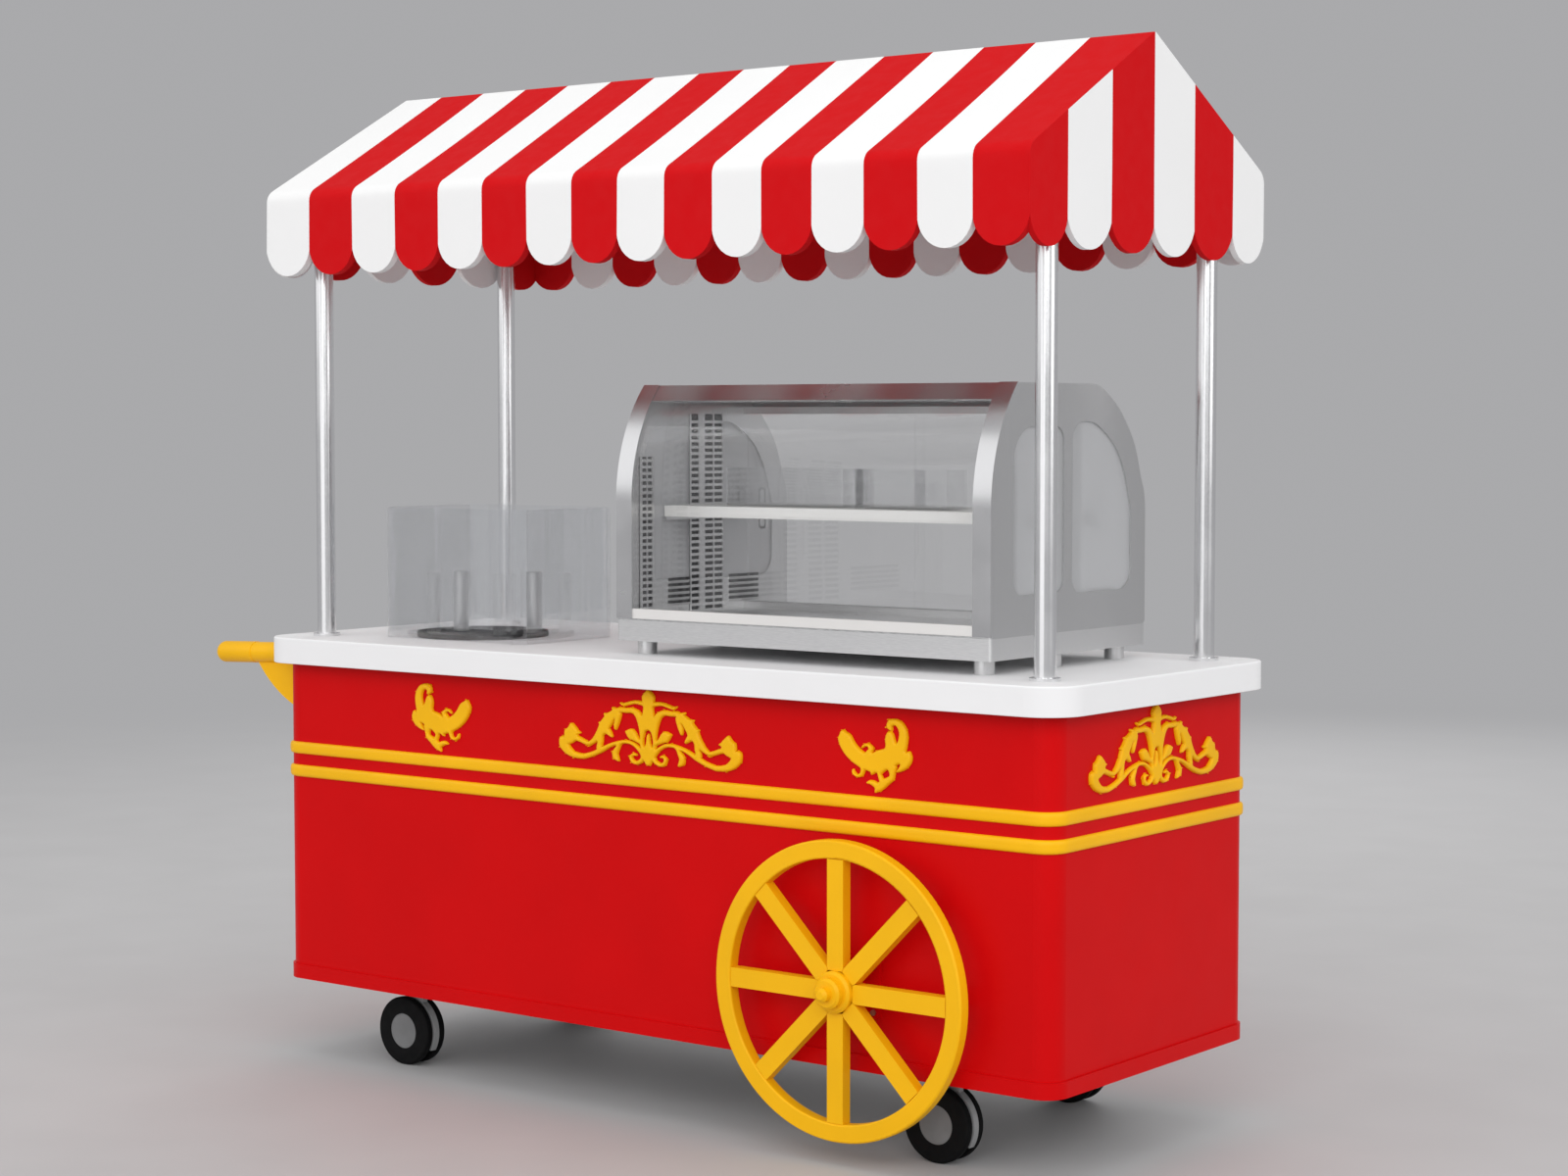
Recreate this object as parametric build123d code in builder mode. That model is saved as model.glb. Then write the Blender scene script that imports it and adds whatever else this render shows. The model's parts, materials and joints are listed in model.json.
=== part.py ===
from build123d import *
import math
import os

# A coffee cart: a red cabinet on four twin-wheel castors, with a painted cart wheel on its
# front, a white counter, a glass display case, a clear guard round a tray, and a striped
# canopy on four chrome posts. All lengths are in millimetres. The customers' side faces -Y.

# Cabinet and counter
cabinet_len = 2050
cabinet_dep = 740
cabinet_corner = 45
shell_bottom = 175
shell_top = 938
sheet = 2
counter_len = 2126
counter_dep = 822
counter_corner = 80
counter_bottom = 892
counter_top = 950
counter_apron = 20
skirt_high = 32
skirt_proud = 5
strip_proud = 7
strip_spans = [(634, 661), (686, 713)]

# Frame inside the cabinet
channel = 40
channel_wall = 3
cross_wide = 110
floor_thick = 3
angle = 30
angle_wall = 3
upright_x = 947
board_thick = 18
shelf_z = 540
shelf_lip = 25
mullion_wide = 40
mullion_deep = 30

# Back doors
opening_half = 930
opening_low = 235
opening_high = 862
door_gap = 3
door_thick = 18
door_sheet = 1.5
hinge_pin = 6
hinge_barrel = 12
hinge_x = 934
hinge_y = 378
hinge_zs = (300, 740)
knuckle = 38
pull_rod = 12
pull_long = 160
pull_off = 24

# Castors
castor_places = [
    ("front_left", -720, -279),
    ("front_right", 720, -279),
    ("back_left", -720, 305),
    ("back_right", 648, 305),
]
castor_r = 76
castor_trail = 25
tyre_wide = 19
tyre_inner = 39
hood_thick = 15
swivel_pin = 16
collar_r = 16
run_fit = 0.05

# Cart wheel on the front
wheel_x = 576
wheel_z = 339
wheel_r = 293
wheel_front = 442
wheel_deep = 28
rim_wide = 36
spoke_wide = 38
spoke_deep = 24
spokes = 8
hub_r = 41
hub_back = 386
hub_nose = 490
axle_r = 12.5

# Push handles
handle_y = 305
handle_r = 24.5
handle_neck_r = 23.5
handle_neck = 122
handle_end = 1308
handle_z = 906
handle_droop = 2

# Posts and canopy
post_x = 960
post_y = 300
post_r = 21.2
post_wall = 2
post_high = 950
canopy_x = 5
canopy_y = 6.5
canopy_len = 2006
canopy_dep = 881
eave_z = 1935
ridge_z = 2182
scallop_z = 1754
notch_z = 1808
eave_bend = 32
cloth = 2.5
lobes_long = 16
lobes_end = 6
lobe_drift = 0.083
lobe_outer = 129
bar = 20

# Display case, measured from the cabinet's middle
case_left = -95
case_right = 838
case_front = -298
case_back = 270
case_foot = 29
case_base = 43
case_floor = 3
case_top = 1509
case_wall = 12
bend_z = 1268
bend_r = 365
band_wide = 42
band_thick = 2
pane = 5
window_pane = 4
sill_high = 21
sill_deep = 14
cover = 6
rail_high = 33
lip_z = 1465
track_y = 135
track_deep = 40
track_high = 15
groove = 8
groove_gap = 18
slide_overlap = 37
rack_top = 1257
rack_thick = 23
rack_front = -165
rack_back = 105
standard_spans = [(-240, -196, 1360), (-75, 37, 1450)]
dish_spans = [(38, 343), (371, 600)]
dish_front = -100
dish_deep = 75
dish_high = 80
dish_wall = 3

# Guard, tray and tubes
guard_x = -625
guard_y = -89
guard_len = 422
guard_dep = 318
guard_high = 292
guard_wall = 8
guard_corner = 30
tray_x = -675
tray_y = -89
tray_r = 147.5
tray_high = 12
tube_r = 18
tube_high = 137
tube_places = [(-787, -42), (-617, 19)]

# Relief ornament
relief = 8
crest_x = 53
crest_y = -6
spray_x = 585
spray_middle = 45

# The origin is on the floor under the middle of the cart's outline.
cart_x = (handle_end - counter_len / 2) / 2
cart_y = (hub_nose - canopy_y - canopy_dep / 2) / 2
floor = Plane(origin=(cart_x, cart_y, 0))
front = Plane(origin=(cart_x, cart_y, 0), x_dir=(1, 0, 0), z_dir=(0, -1, 0))
end = Plane(origin=(cart_x, cart_y, 0), x_dir=(0, 1, 0), z_dir=(1, 0, 0))
canopy_middle = (cart_x + canopy_x, cart_y + canopy_y, 0)
canopy_front = Plane(origin=canopy_middle, x_dir=(1, 0, 0), z_dir=(0, -1, 0))
canopy_end = Plane(origin=canopy_middle, x_dir=(0, 1, 0), z_dir=(1, 0, 0))

os.makedirs("parts", exist_ok=True)

# Channel frame under the cabinet, with a cross member over each pair of castors
inner_len = cabinet_len - 2 * sheet
inner_dep = cabinet_dep - 2 * sheet
pivots = [(x + castor_trail, y) for name, x, y in castor_places]
left_pair = [x for x, y in pivots if x < 0]
right_pair = [x for x, y in pivots if x > 0]
with BuildPart() as chassis:
    with BuildSketch(floor.offset(shell_bottom)) as plan:
        RectangleRounded(inner_len, inner_dep, cabinet_corner)
        RectangleRounded(
            inner_len - 2 * channel,
            inner_dep - 2 * channel,
            cabinet_corner - channel,
            mode=Mode.SUBTRACT,
        )
        for pair in (left_pair, [castor_trail], right_pair):
            with Locations(((min(pair) + max(pair)) / 2, 0)):
                Rectangle(max(pair) - min(pair) + cross_wide, inner_dep - channel)
    extrude(amount=channel)
    with BuildSketch(floor.offset(shell_bottom + channel_wall)):
        add(plan.sketch_local)
        offset(amount=-channel_wall, kind=Kind.INTERSECTION, mode=Mode.REPLACE)
    extrude(amount=channel - channel_wall, mode=Mode.SUBTRACT)
chassis.part.label = "chassis"
export_step(chassis.part, "parts/chassis.step")

floor_z = shell_bottom + channel
with BuildPart() as floor_panel:
    with BuildSketch(floor.offset(floor_z)):
        RectangleRounded(inner_len, inner_dep, cabinet_corner)
    extrude(amount=floor_thick)
floor_panel.part.label = "floor_panel"
export_step(floor_panel.part, "parts/floor_panel.step")

# Angle uprights on the floor panel against the inside of the sheet, and the middle post that
# the two back doors close against
base_z = floor_z + floor_thick
board_z = shell_top - board_thick
edge_y = inner_dep / 2
mullion_y = cabinet_dep / 2 - door_thick - 2 - mullion_deep / 2
with BuildPart() as cabinet_frame:
    with BuildSketch(floor.offset(base_z)):
        for side in (-1, 1):
            for back in (-1, 1):
                with Locations((side * upright_x, back * (edge_y - angle_wall / 2))):
                    Rectangle(angle, angle_wall)
                with Locations((side * (upright_x - (angle - angle_wall) / 2), back * (edge_y - angle / 2))):
                    Rectangle(angle_wall, angle)
        with Locations((0, -edge_y + angle_wall / 2)):
            Rectangle(mullion_wide, angle_wall)
    extrude(amount=board_z - base_z)
    with BuildSketch(floor.offset(base_z)):
        with Locations((0, mullion_y)):
            Rectangle(mullion_wide, mullion_deep)
            Rectangle(
                mullion_wide - 2 * angle_wall,
                mullion_deep - 2 * angle_wall,
                mode=Mode.SUBTRACT,
            )
    extrude(amount=board_z - base_z)
cabinet_frame.part.label = "cabinet_frame"
export_step(cabinet_frame.part, "parts/cabinet_frame.step")

with BuildPart() as top_board:
    with BuildSketch(floor.offset(board_z)):
        RectangleRounded(inner_len, inner_dep, cabinet_corner)
    extrude(amount=board_thick)
top_board.part.label = "top_board"
export_step(top_board.part, "parts/top_board.step")

# Folded shelf between the uprights, resting against the middle post
shelf_len = 2 * (upright_x - angle / 2)
shelf_front = -edge_y + angle
shelf_back = mullion_y - mullion_deep / 2
with BuildPart() as inner_shelf:
    with BuildSketch(floor.offset(shelf_z - shelf_lip)):
        with Locations((0, (shelf_front + shelf_back) / 2)):
            Rectangle(shelf_len, shelf_back - shelf_front)
    extrude(amount=shelf_lip)
    under = inner_shelf.faces().sort_by(Axis.Z)[0]
    offset(amount=-sheet, openings=under)
inner_shelf.part.label = "inner_shelf"
export_step(inner_shelf.part, "parts/inner_shelf.step")

# The cabinet's painted sheet, wrapped round all four corners and open at the back
with BuildPart() as body_shell:
    with BuildSketch(floor.offset(shell_bottom)):
        RectangleRounded(cabinet_len, cabinet_dep, cabinet_corner)
        RectangleRounded(inner_len, inner_dep, cabinet_corner - sheet, mode=Mode.SUBTRACT)
    extrude(amount=shell_top - shell_bottom)
    with BuildSketch(front.offset(-cabinet_dep / 2)):
        with Locations((0, (opening_low + opening_high) / 2)):
            Rectangle(2 * opening_half, opening_high - opening_low)
    extrude(amount=cabinet_corner, both=True, mode=Mode.SUBTRACT)
body_shell.part.label = "body_shell"
export_step(body_shell.part, "parts/body_shell.step")

with BuildPart() as skirt:
    with BuildSketch(floor.offset(shell_bottom)):
        RectangleRounded(
            cabinet_len + 2 * skirt_proud,
            cabinet_dep + 2 * skirt_proud,
            cabinet_corner + skirt_proud,
        )
        RectangleRounded(cabinet_len, cabinet_dep, cabinet_corner, mode=Mode.SUBTRACT)
    extrude(amount=skirt_high)
skirt.part.label = "skirt"
export_step(skirt.part, "parts/skirt.step")

# Two rounded strips round the front and the ends, which stop short of the back doors
with BuildPart() as trim_strips:
    for low, high in strip_spans:
        with BuildSketch(floor.offset(low)):
            RectangleRounded(
                cabinet_len + 2 * strip_proud,
                cabinet_dep + 2 * strip_proud,
                cabinet_corner + strip_proud,
            )
            RectangleRounded(cabinet_len, cabinet_dep, cabinet_corner, mode=Mode.SUBTRACT)
            with Locations((0, cabinet_dep / 2)):
                Rectangle(2 * (hinge_x + hinge_barrel), 4 * strip_proud, mode=Mode.SUBTRACT)
        extrude(amount=high - low)
trim_strips.part.label = "trim_strips"
export_step(trim_strips.part, "parts/trim_strips.step")

# White counter: a plate with a deep edge all round, over the top of the cabinet
with BuildPart() as countertop:
    with BuildSketch(floor.offset(counter_bottom)):
        RectangleRounded(counter_len, counter_dep, counter_corner)
    extrude(amount=counter_top - counter_bottom)
    fillet(countertop.edges().group_by(Axis.Z)[-1], radius=4)
    fillet(countertop.edges().group_by(Axis.Z)[0], radius=2)
    with BuildSketch(floor.offset(counter_bottom)):
        RectangleRounded(
            counter_len - 2 * counter_apron,
            counter_dep - 2 * counter_apron,
            counter_corner - counter_apron,
        )
    extrude(amount=shell_top - counter_bottom, mode=Mode.SUBTRACT)
countertop.part.label = "countertop"
export_step(countertop.part, "parts/countertop.step")

# Back doors: folded trays that hang on lift-off hinges at the outer edges
door_low = opening_low + door_gap
door_high = opening_high - door_gap
door_wide = opening_half - door_gap - 2
for name, side in (("left", -1), ("right", 1)):
    with BuildPart() as door:
        with BuildSketch(front.offset(-cabinet_dep / 2)):
            with Locations((side * (2 + door_wide / 2), (door_low + door_high) / 2)):
                Rectangle(door_wide, door_high - door_low)
        extrude(amount=door_thick)
        inside = door.faces().sort_by(Axis.Y)[0]
        offset(amount=-door_sheet, openings=inside)
    door.part.label = f"door_{name}"
    export_step(door.part, f"parts/door_{name}.step")

    with BuildPart() as fittings:
        grip_y = cabinet_dep / 2 + pull_off + pull_rod / 2
        with BuildSketch(floor.offset((door_low + door_high - pull_long) / 2)):
            with Locations((side * 45, grip_y)):
                Circle(pull_rod / 2)
        extrude(amount=pull_long)
        fillet(fittings.edges().filter_by(GeomType.CIRCLE), radius=3)
        with BuildSketch(front.offset(-cabinet_dep / 2)):
            with Locations((side * 45, (door_low + door_high) / 2)):
                with GridLocations(0, pull_long - 40, 1, 2):
                    Circle(pull_rod / 3)
        extrude(amount=-pull_off - pull_rod / 2)
        for z in hinge_zs:
            with BuildSketch(floor.offset(z + knuckle + 1)):
                with Locations((side * hinge_x, hinge_y)):
                    Circle(hinge_barrel / 2)
                with Locations((side * (hinge_x - 25), cabinet_dep / 2 + 1.5)):
                    Rectangle(40, 3)
                with Locations((side * (hinge_x - 3), cabinet_dep / 2 + 4.4)):
                    Rectangle(6, 8)
                with Locations((side * hinge_x, hinge_y)):
                    Circle(hinge_pin / 2 + run_fit, mode=Mode.SUBTRACT)
            extrude(amount=knuckle)
    fittings.part.label = f"door_fittings_{name}"
    export_step(fittings.part, f"parts/door_fittings_{name}.step")

with BuildPart() as hinge_posts:
    for side in (-1, 1):
        for z in hinge_zs:
            with BuildSketch(floor.offset(z)):
                with Locations((side * hinge_x, hinge_y)):
                    Circle(hinge_barrel / 2)
                with Locations((side * (hinge_x + 13), cabinet_dep / 2 + 1.5)):
                    Rectangle(26, 3)
                with Locations((side * (hinge_x + 3), cabinet_dep / 2 + 4)):
                    Rectangle(6, 8)
            extrude(amount=knuckle)
            with BuildSketch(floor.offset(z + knuckle)):
                with Locations((side * hinge_x, hinge_y)):
                    Circle(hinge_pin / 2)
            extrude(amount=knuckle)
hinge_posts.part.label = "hinge_posts"
export_step(hinge_posts.part, "parts/hinge_posts.step")

# Castor plates under the frame, each with the pin that its castor turns on
plate_thick = 5
plate_z = shell_bottom - plate_thick
pin_long = 12
with BuildPart() as castor_plates:
    with BuildSketch(floor.offset(plate_z)):
        with Locations(*pivots):
            RectangleRounded(92, 72, 8)
    extrude(amount=plate_thick)
    with BuildSketch(floor.offset(plate_z)):
        with Locations(*pivots):
            Circle(swivel_pin / 2)
    extrude(amount=-pin_long)
castor_plates.part.label = "castor_plates"
export_step(castor_plates.part, "parts/castor_plates.step")

# Twin-wheel castors: a hood between two tyres, trailing behind the pin that it turns on
collar_top = plate_z - 0.3
collar_low = 2 * castor_r + 2
hood_r = castor_r + 1
hub_out = hood_thick / 2 + 2 + tyre_wide
for name, axle_x, axle_y in castor_places:
    pivot_x = axle_x + castor_trail
    across = front.offset(-axle_y)
    with BuildPart() as hood:
        with BuildSketch(across):
            with BuildLine():
                low_end = (axle_x + hood_r * math.cos(-0.55), castor_r + hood_r * math.sin(-0.55))
                right = (axle_x + hood_r * math.cos(0.35), castor_r + hood_r * math.sin(0.35))
                top_end = (axle_x + hood_r * math.cos(1.75), castor_r + hood_r * math.sin(1.75))
                ThreePointArc(low_end, right, top_end)
                Polyline(top_end, (axle_x - 24, castor_r), (axle_x, castor_r - 24), low_end)
            make_face()
            with Locations((pivot_x, (collar_low + castor_r) / 2)):
                Rectangle(2 * collar_r, collar_low - castor_r)
        extrude(amount=hood_thick / 2, both=True)
        with BuildSketch(floor.offset(collar_low)):
            with Locations((pivot_x, axle_y)):
                Circle(collar_r)
        extrude(amount=collar_top - collar_low)
        with BuildSketch(floor.offset(plate_z - pin_long - 1)):
            with Locations((pivot_x, axle_y)):
                Circle(swivel_pin / 2 + run_fit)
        extrude(amount=pin_long + 1, mode=Mode.SUBTRACT)
        with BuildSketch(across):
            with Locations((axle_x, castor_r)):
                Circle(6 + run_fit)
        extrude(amount=hood_thick, both=True, mode=Mode.SUBTRACT)
    hood.part.label = f"castor_{name}_hood"
    export_step(hood.part, f"parts/castor_{name}_hood.step")

    with BuildPart() as tyres:
        for out in (-1, 1):
            with BuildSketch(across.offset(out * (hub_out - tyre_wide / 2))):
                with Locations((axle_x, castor_r)):
                    Circle(castor_r)
                    Circle(tyre_inner, mode=Mode.SUBTRACT)
            extrude(amount=tyre_wide / 2, both=True)
        tread = tyres.edges().filter_by(GeomType.CIRCLE).group_by(SortBy.RADIUS)[-1]
        fillet(tread, radius=6)
    tyres.part.label = f"castor_{name}_tyres"
    export_step(tyres.part, f"parts/castor_{name}_tyres.step")

    with BuildPart() as hubs:
        with BuildSketch(across):
            with Locations((axle_x, castor_r)):
                Circle(6)
        extrude(amount=hub_out - 4, both=True)
        for out in (-1, 1):
            with BuildSketch(across.offset(out * (hub_out - tyre_wide / 2 - 1))):
                with Locations((axle_x, castor_r)):
                    Circle(tyre_inner)
            extrude(amount=tyre_wide / 2 - 1, both=True)
    hubs.part.label = f"castor_{name}_hubs"
    export_step(hubs.part, f"parts/castor_{name}_hubs.step")

# Cart wheel: rim, spokes and a turned hub, free on a stub axle
wheel_back = wheel_front - wheel_deep
face = front.offset(wheel_back)
with BuildPart() as wheel_rim:
    with BuildSketch(face):
        with Locations((wheel_x, wheel_z)):
            Circle(wheel_r)
            Circle(wheel_r - rim_wide, mode=Mode.SUBTRACT)
    extrude(amount=wheel_deep)
    fillet(wheel_rim.edges().filter_by(GeomType.CIRCLE), radius=4)
wheel_rim.part.label = "wheel_rim"
export_step(wheel_rim.part, "parts/wheel_rim.step")

spoke_end = math.sqrt((wheel_r - rim_wide) ** 2 - (spoke_wide / 2) ** 2)
wedge = math.tan(math.pi / spokes)
neck_half = hub_r * wedge - 0.5
neck_end = (spoke_wide / 2 + 0.5) / wedge
with BuildPart() as wheel_spokes:
    with BuildSketch(face.offset((wheel_deep - spoke_deep) / 2)):
        with Locations((wheel_x, wheel_z)):
            with PolarLocations(0, spokes):
                Polygon(
                    (hub_r, -neck_half),
                    (neck_end, -spoke_wide / 2),
                    (spoke_end, -spoke_wide / 2),
                    (spoke_end, spoke_wide / 2),
                    (neck_end, spoke_wide / 2),
                    (hub_r, neck_half),
                    align=None,
                )
    extrude(amount=spoke_deep)
wheel_spokes.part.label = "wheel_spokes"
export_step(wheel_spokes.part, "parts/wheel_spokes.step")

axle_end = wheel_front + 20
hub_line = Plane(
    origin=(cart_x + wheel_x, cart_y, wheel_z), x_dir=(0, -1, 0), z_dir=(1, 0, 0)
)
with BuildPart() as wheel_hub:
    with BuildSketch(hub_line):
        with BuildLine():
            Polyline(
                (hub_back, axle_r + run_fit),
                (hub_back, 30),
                (wheel_back - 2, 30),
                (wheel_back - 2, hub_r),
                (wheel_front + 6, hub_r),
                (wheel_front + 11, hub_r - 5),
                (wheel_front + 11, 30),
                (wheel_front + 24, 30),
                (wheel_front + 29, 25),
                (wheel_front + 29, 14),
                (hub_nose - 6, 14),
                (hub_nose, 8),
                (hub_nose, 0),
                (axle_end + 1, 0),
                (axle_end + 1, axle_r + run_fit),
                close=True,
            )
        make_face()
    revolve(axis=Axis(hub_line.origin, hub_line.x_dir))
wheel_hub.part.label = "wheel_hub"
export_step(wheel_hub.part, "parts/wheel_hub.step")

cabinet_face = cabinet_dep / 2
with BuildPart() as wheel_axle:
    with BuildSketch(front.offset(cabinet_face)):
        with Locations((wheel_x, wheel_z)):
            RectangleRounded(120, 120, 12)
    extrude(amount=5)
    with BuildSketch(front.offset(cabinet_face)):
        with Locations((wheel_x, wheel_z)):
            Circle(28)
    extrude(amount=hub_back - 1 - cabinet_face)
    with BuildSketch(front.offset(cabinet_face)):
        with Locations((wheel_x, wheel_z)):
            Circle(axle_r)
    extrude(amount=axle_end - cabinet_face)
wheel_axle.part.label = "wheel_axle"
export_step(wheel_axle.part, "parts/wheel_axle.step")

# Relief ornament on the front and on the end, as strokes of (across, up, width). A crest is
# half a shape, mirrored about its middle. A spray is whole, and mirrored for the right side.
crest_strokes = [
    [(235, 72, 19), (231, 63, 27), (220, 50, 21), (203, 41, 14), (177, 39, 11)],
    [(177, 39, 11), (151, 46, 11), (127, 56, 11)],
    [(127, 56, 11), (105, 67, 9), (83, 74, 8), (61, 78, 8), (43, 76, 8), (27, 67, 9), (13, 54, 12)],
    [(209, 103, 13), (207, 95, 31), (209, 86, 40), (216, 75, 31)],
    [(185, 88, 4), (196, 89, 12), (206, 90, 17)],
    [(212, 79, 13), (188, 75, 11), (161, 66, 10), (145, 76, 13)],
    [(145, 76, 13), (131, 90, 19), (119, 106, 28), (104, 124, 24)],
    [(104, 124, 24), (90, 135, 17), (76, 143, 12), (60, 142, 11)],
    [(60, 142, 11), (43, 144, 12), (29, 138, 16), (19, 122, 19)],
    [(19, 122, 19), (15, 104, 17), (17, 87, 9), (17, 73, 9), (11, 60, 12)],
    [(10, 158, 10), (23, 160, 9), (36, 161, 8), (53, 157, 8), (67, 153, 8), (75, 157, 4)],
    [(133, 113, 4), (122, 110, 13), (115, 106, 16)],
    [(119, 132, 4), (109, 128, 13), (101, 123, 16)],
    [(97, 146, 4), (89, 141, 12), (81, 137, 14)],
    [(116, 101, 17), (105, 93, 13), (98, 86, 6)],
    [(78, 134, 13), (84, 118, 13), (87, 110, 12), (88, 102, 6)],
    [(128, 90, 13), (129, 74, 14), (134, 59, 13)],
    [(60, 99, 5), (53, 97, 18), (45, 94, 25), (38, 90, 19), (29, 83, 11), (17, 77, 8)],
    [(11, 54, 11), (19, 41, 10), (32, 35, 9), (43, 39, 10), (47, 48, 10), (40, 54, 7), (32, 52, 5)],
    [(75, 75, 7), (83, 63, 11), (90, 53, 16), (88, 44, 16), (80, 37, 5)],
]
crest_stem = [(0, 186, 11), (0, 180, 26), (0, 173, 34), (0, 166, 32), (0, 159, 27), (0, 150, 26)]
crest_body = [(0, 150, 26), (0, 139, 30), (0, 126, 37), (0, 117, 38)]
crest_flame = [(0, 97, 4), (0, 91, 9), (0, 83, 10), (0, 76, 13), (0, 67, 24)]
crest_foot = [(0, 67, 24), (0, 58, 27), (0, 49, 33), (0, 38, 18)]
spray_strokes = [
    [(-31, 145, 7), (-25, 151, 15), (-27, 158, 17), (-39, 161, 13), (-51, 156, 16)],
    [(-51, 156, 16), (-58, 145, 19), (-59, 131, 21)],
    [(-59, 131, 21), (-56, 117, 23), (-48, 106, 33), (-39, 95, 36)],
    [(-27, 136, 18), (-27, 127, 23), (-30, 116, 25), (-31, 104, 36)],
    [(-72, 104, 8), (-71, 99, 18), (-67, 90, 24), (-61, 79, 19), (-53, 71, 11), (-44, 65, 4)],
    [(-62, 97, 22), (-43, 94, 32), (-22, 90, 38), (-1, 81, 46), (19, 77, 34), (40, 83, 32), (58, 93, 33)],
    [(58, 93, 33), (71, 106, 34), (79, 119, 34), (83, 127, 29), (84, 133, 15)],
    [(27, 93, 11), (21, 99, 13), (16, 106, 13), (24, 113, 8), (34, 111, 6), (39, 106, 4)],
    [(-32, 73, 24), (-33, 62, 13), (-32, 52, 13), (-22, 46, 14), (-11, 39, 18), (0, 31, 18), (7, 22, 4)],
    [(-5, 65, 17), (-3, 57, 9), (-7, 48, 11), (-12, 43, 10)],
    [(0, 33, 12), (11, 39, 12), (20, 41, 9), (27, 39, 4)],
    [(8, 70, 20), (13, 61, 11), (16, 56, 4)],
    [(38, 74, 17), (36, 63, 10), (40, 53, 9), (50, 50, 7), (59, 56, 8), (60, 62, 5)],
]


def ribbon(stroke):
    """The outline of a stroke: one side out to its blunt tip, and the other side back."""
    there = []
    back = []
    for n, (x, z, wide) in enumerate(stroke):
        before = stroke[max(n - 1, 0)]
        after = stroke[min(n + 1, len(stroke) - 1)]
        turn = math.atan2(after[1] - before[1], after[0] - before[0])
        side_x = -math.sin(turn) * wide / 2
        side_z = math.cos(turn) * wide / 2
        if n == 0:
            nose = wide / 3
            there.append((x - math.cos(turn) * nose + side_x / 2, z - math.sin(turn) * nose + side_z / 2))
            back.append((x - math.cos(turn) * nose - side_x / 2, z - math.sin(turn) * nose - side_z / 2))
        there.append((x + side_x, z + side_z))
        back.append((x - side_x, z - side_z))
        if n == len(stroke) - 1:
            nose = wide / 3
            there.append((x + math.cos(turn) * nose + side_x / 2, z + math.sin(turn) * nose + side_z / 2))
            back.append((x + math.cos(turn) * nose - side_x / 2, z + math.sin(turn) * nose - side_z / 2))
    return there + back[::-1]


relief_z = 700
mirrored = [[(-x, z, wide) for x, z, wide in stroke] for stroke in crest_strokes]
crest_whole = crest_strokes + mirrored + [crest_stem, crest_body, crest_flame, crest_foot]
crest_seats = [
    (front.offset(cabinet_face), crest_x),
    (end.offset(cabinet_len / 2), crest_y),
]
with BuildPart() as crests:
    for seat, across in crest_seats:
        with BuildSketch(seat):
            for stroke in crest_whole:
                with BuildLine():
                    Polyline(*[(across + x, relief_z + z) for x, z in ribbon(stroke)], close=True)
                make_face()
        extrude(amount=relief)
crests.part.label = "crests"
export_step(crests.part, "parts/crests.step")

with BuildPart() as sprays:
    for side in (-1, 1):
        with BuildSketch(front.offset(cabinet_face)):
            for stroke in spray_strokes:
                with BuildLine():
                    Polyline(
                        *[
                            (spray_middle + side * (spray_x - x), relief_z + z)
                            for x, z in ribbon(stroke)
                        ],
                        close=True,
                    )
                make_face()
        extrude(amount=relief)
sprays.part.label = "sprays"
export_step(sprays.part, "parts/sprays.step")

# Push handles: a round rod on a curved gusset with a plate against the cabinet's end
slope = math.radians(handle_droop)
counter_half = counter_len / 2
end_x = -cabinet_len / 2
rod_low = handle_z - handle_r
gusset_x = -counter_half - 115
for name, back in (("front", -1), ("back", 1)):
    root = Plane(
        origin=(cart_x - counter_half, cart_y + back * handle_y, handle_z),
        x_dir=(0, 1, 0),
        z_dir=(-math.cos(slope), 0, -math.sin(slope)),
    )
    with BuildPart() as handle:
        with BuildSketch(root.offset(handle_neck)):
            Circle(handle_r)
        extrude(amount=(handle_end - counter_half) / math.cos(slope) - handle_neck)
        tip = handle.edges().filter_by(GeomType.CIRCLE).sort_by(Axis.X)[0]
        fillet(tip, radius=20)
        with BuildSketch(root.offset(-10)):
            Circle(handle_neck_r)
        extrude(amount=10 + handle_neck)
        split(bisect_by=Plane(origin=root.origin, z_dir=(-1, 0, 0)), keep=Keep.TOP)
        with BuildSketch(front.offset(-back * handle_y)):
            with BuildLine():
                Polyline(
                    (gusset_x, rod_low),
                    (-counter_half, rod_low + 3),
                    (end_x - 6, rod_low + 3),
                    (end_x - 6, rod_low - 106),
                )
                ThreePointArc(
                    (end_x - 6, rod_low - 106),
                    (gusset_x + 54, rod_low - 56),
                    (gusset_x, rod_low),
                )
            make_face()
        extrude(amount=5, both=True)
        with BuildSketch(end.offset(end_x)):
            with Locations((back * handle_y, rod_low - 57)):
                Rectangle(50, 120)
        extrude(amount=-6)
    handle.part.label = f"handle_{name}"
    export_step(handle.part, f"parts/handle_{name}.step")

# Bolts of the castor plates, and dome-head screws of the handle plates and the axle plate
with BuildPart() as screws:
    with BuildSketch(floor.offset(plate_z)):
        with Locations(*pivots):
            with GridLocations(68, 48, 2, 2):
                RegularPolygon(6.5, 6)
    extrude(amount=-5)
    for back in (-1, 1):
        with BuildSketch(end.offset(end_x - 6)):
            with Locations((back * handle_y, rod_low - 57)):
                with GridLocations(34, 96, 2, 2):
                    Circle(5)
        extrude(amount=-3)
    with BuildSketch(front.offset(cabinet_face + 5)):
        with Locations((wheel_x, wheel_z)):
            with GridLocations(90, 90, 2, 2):
                Circle(6)
    extrude(amount=3)
screws.part.label = "screws"
export_step(screws.part, "parts/screws.step")

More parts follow.
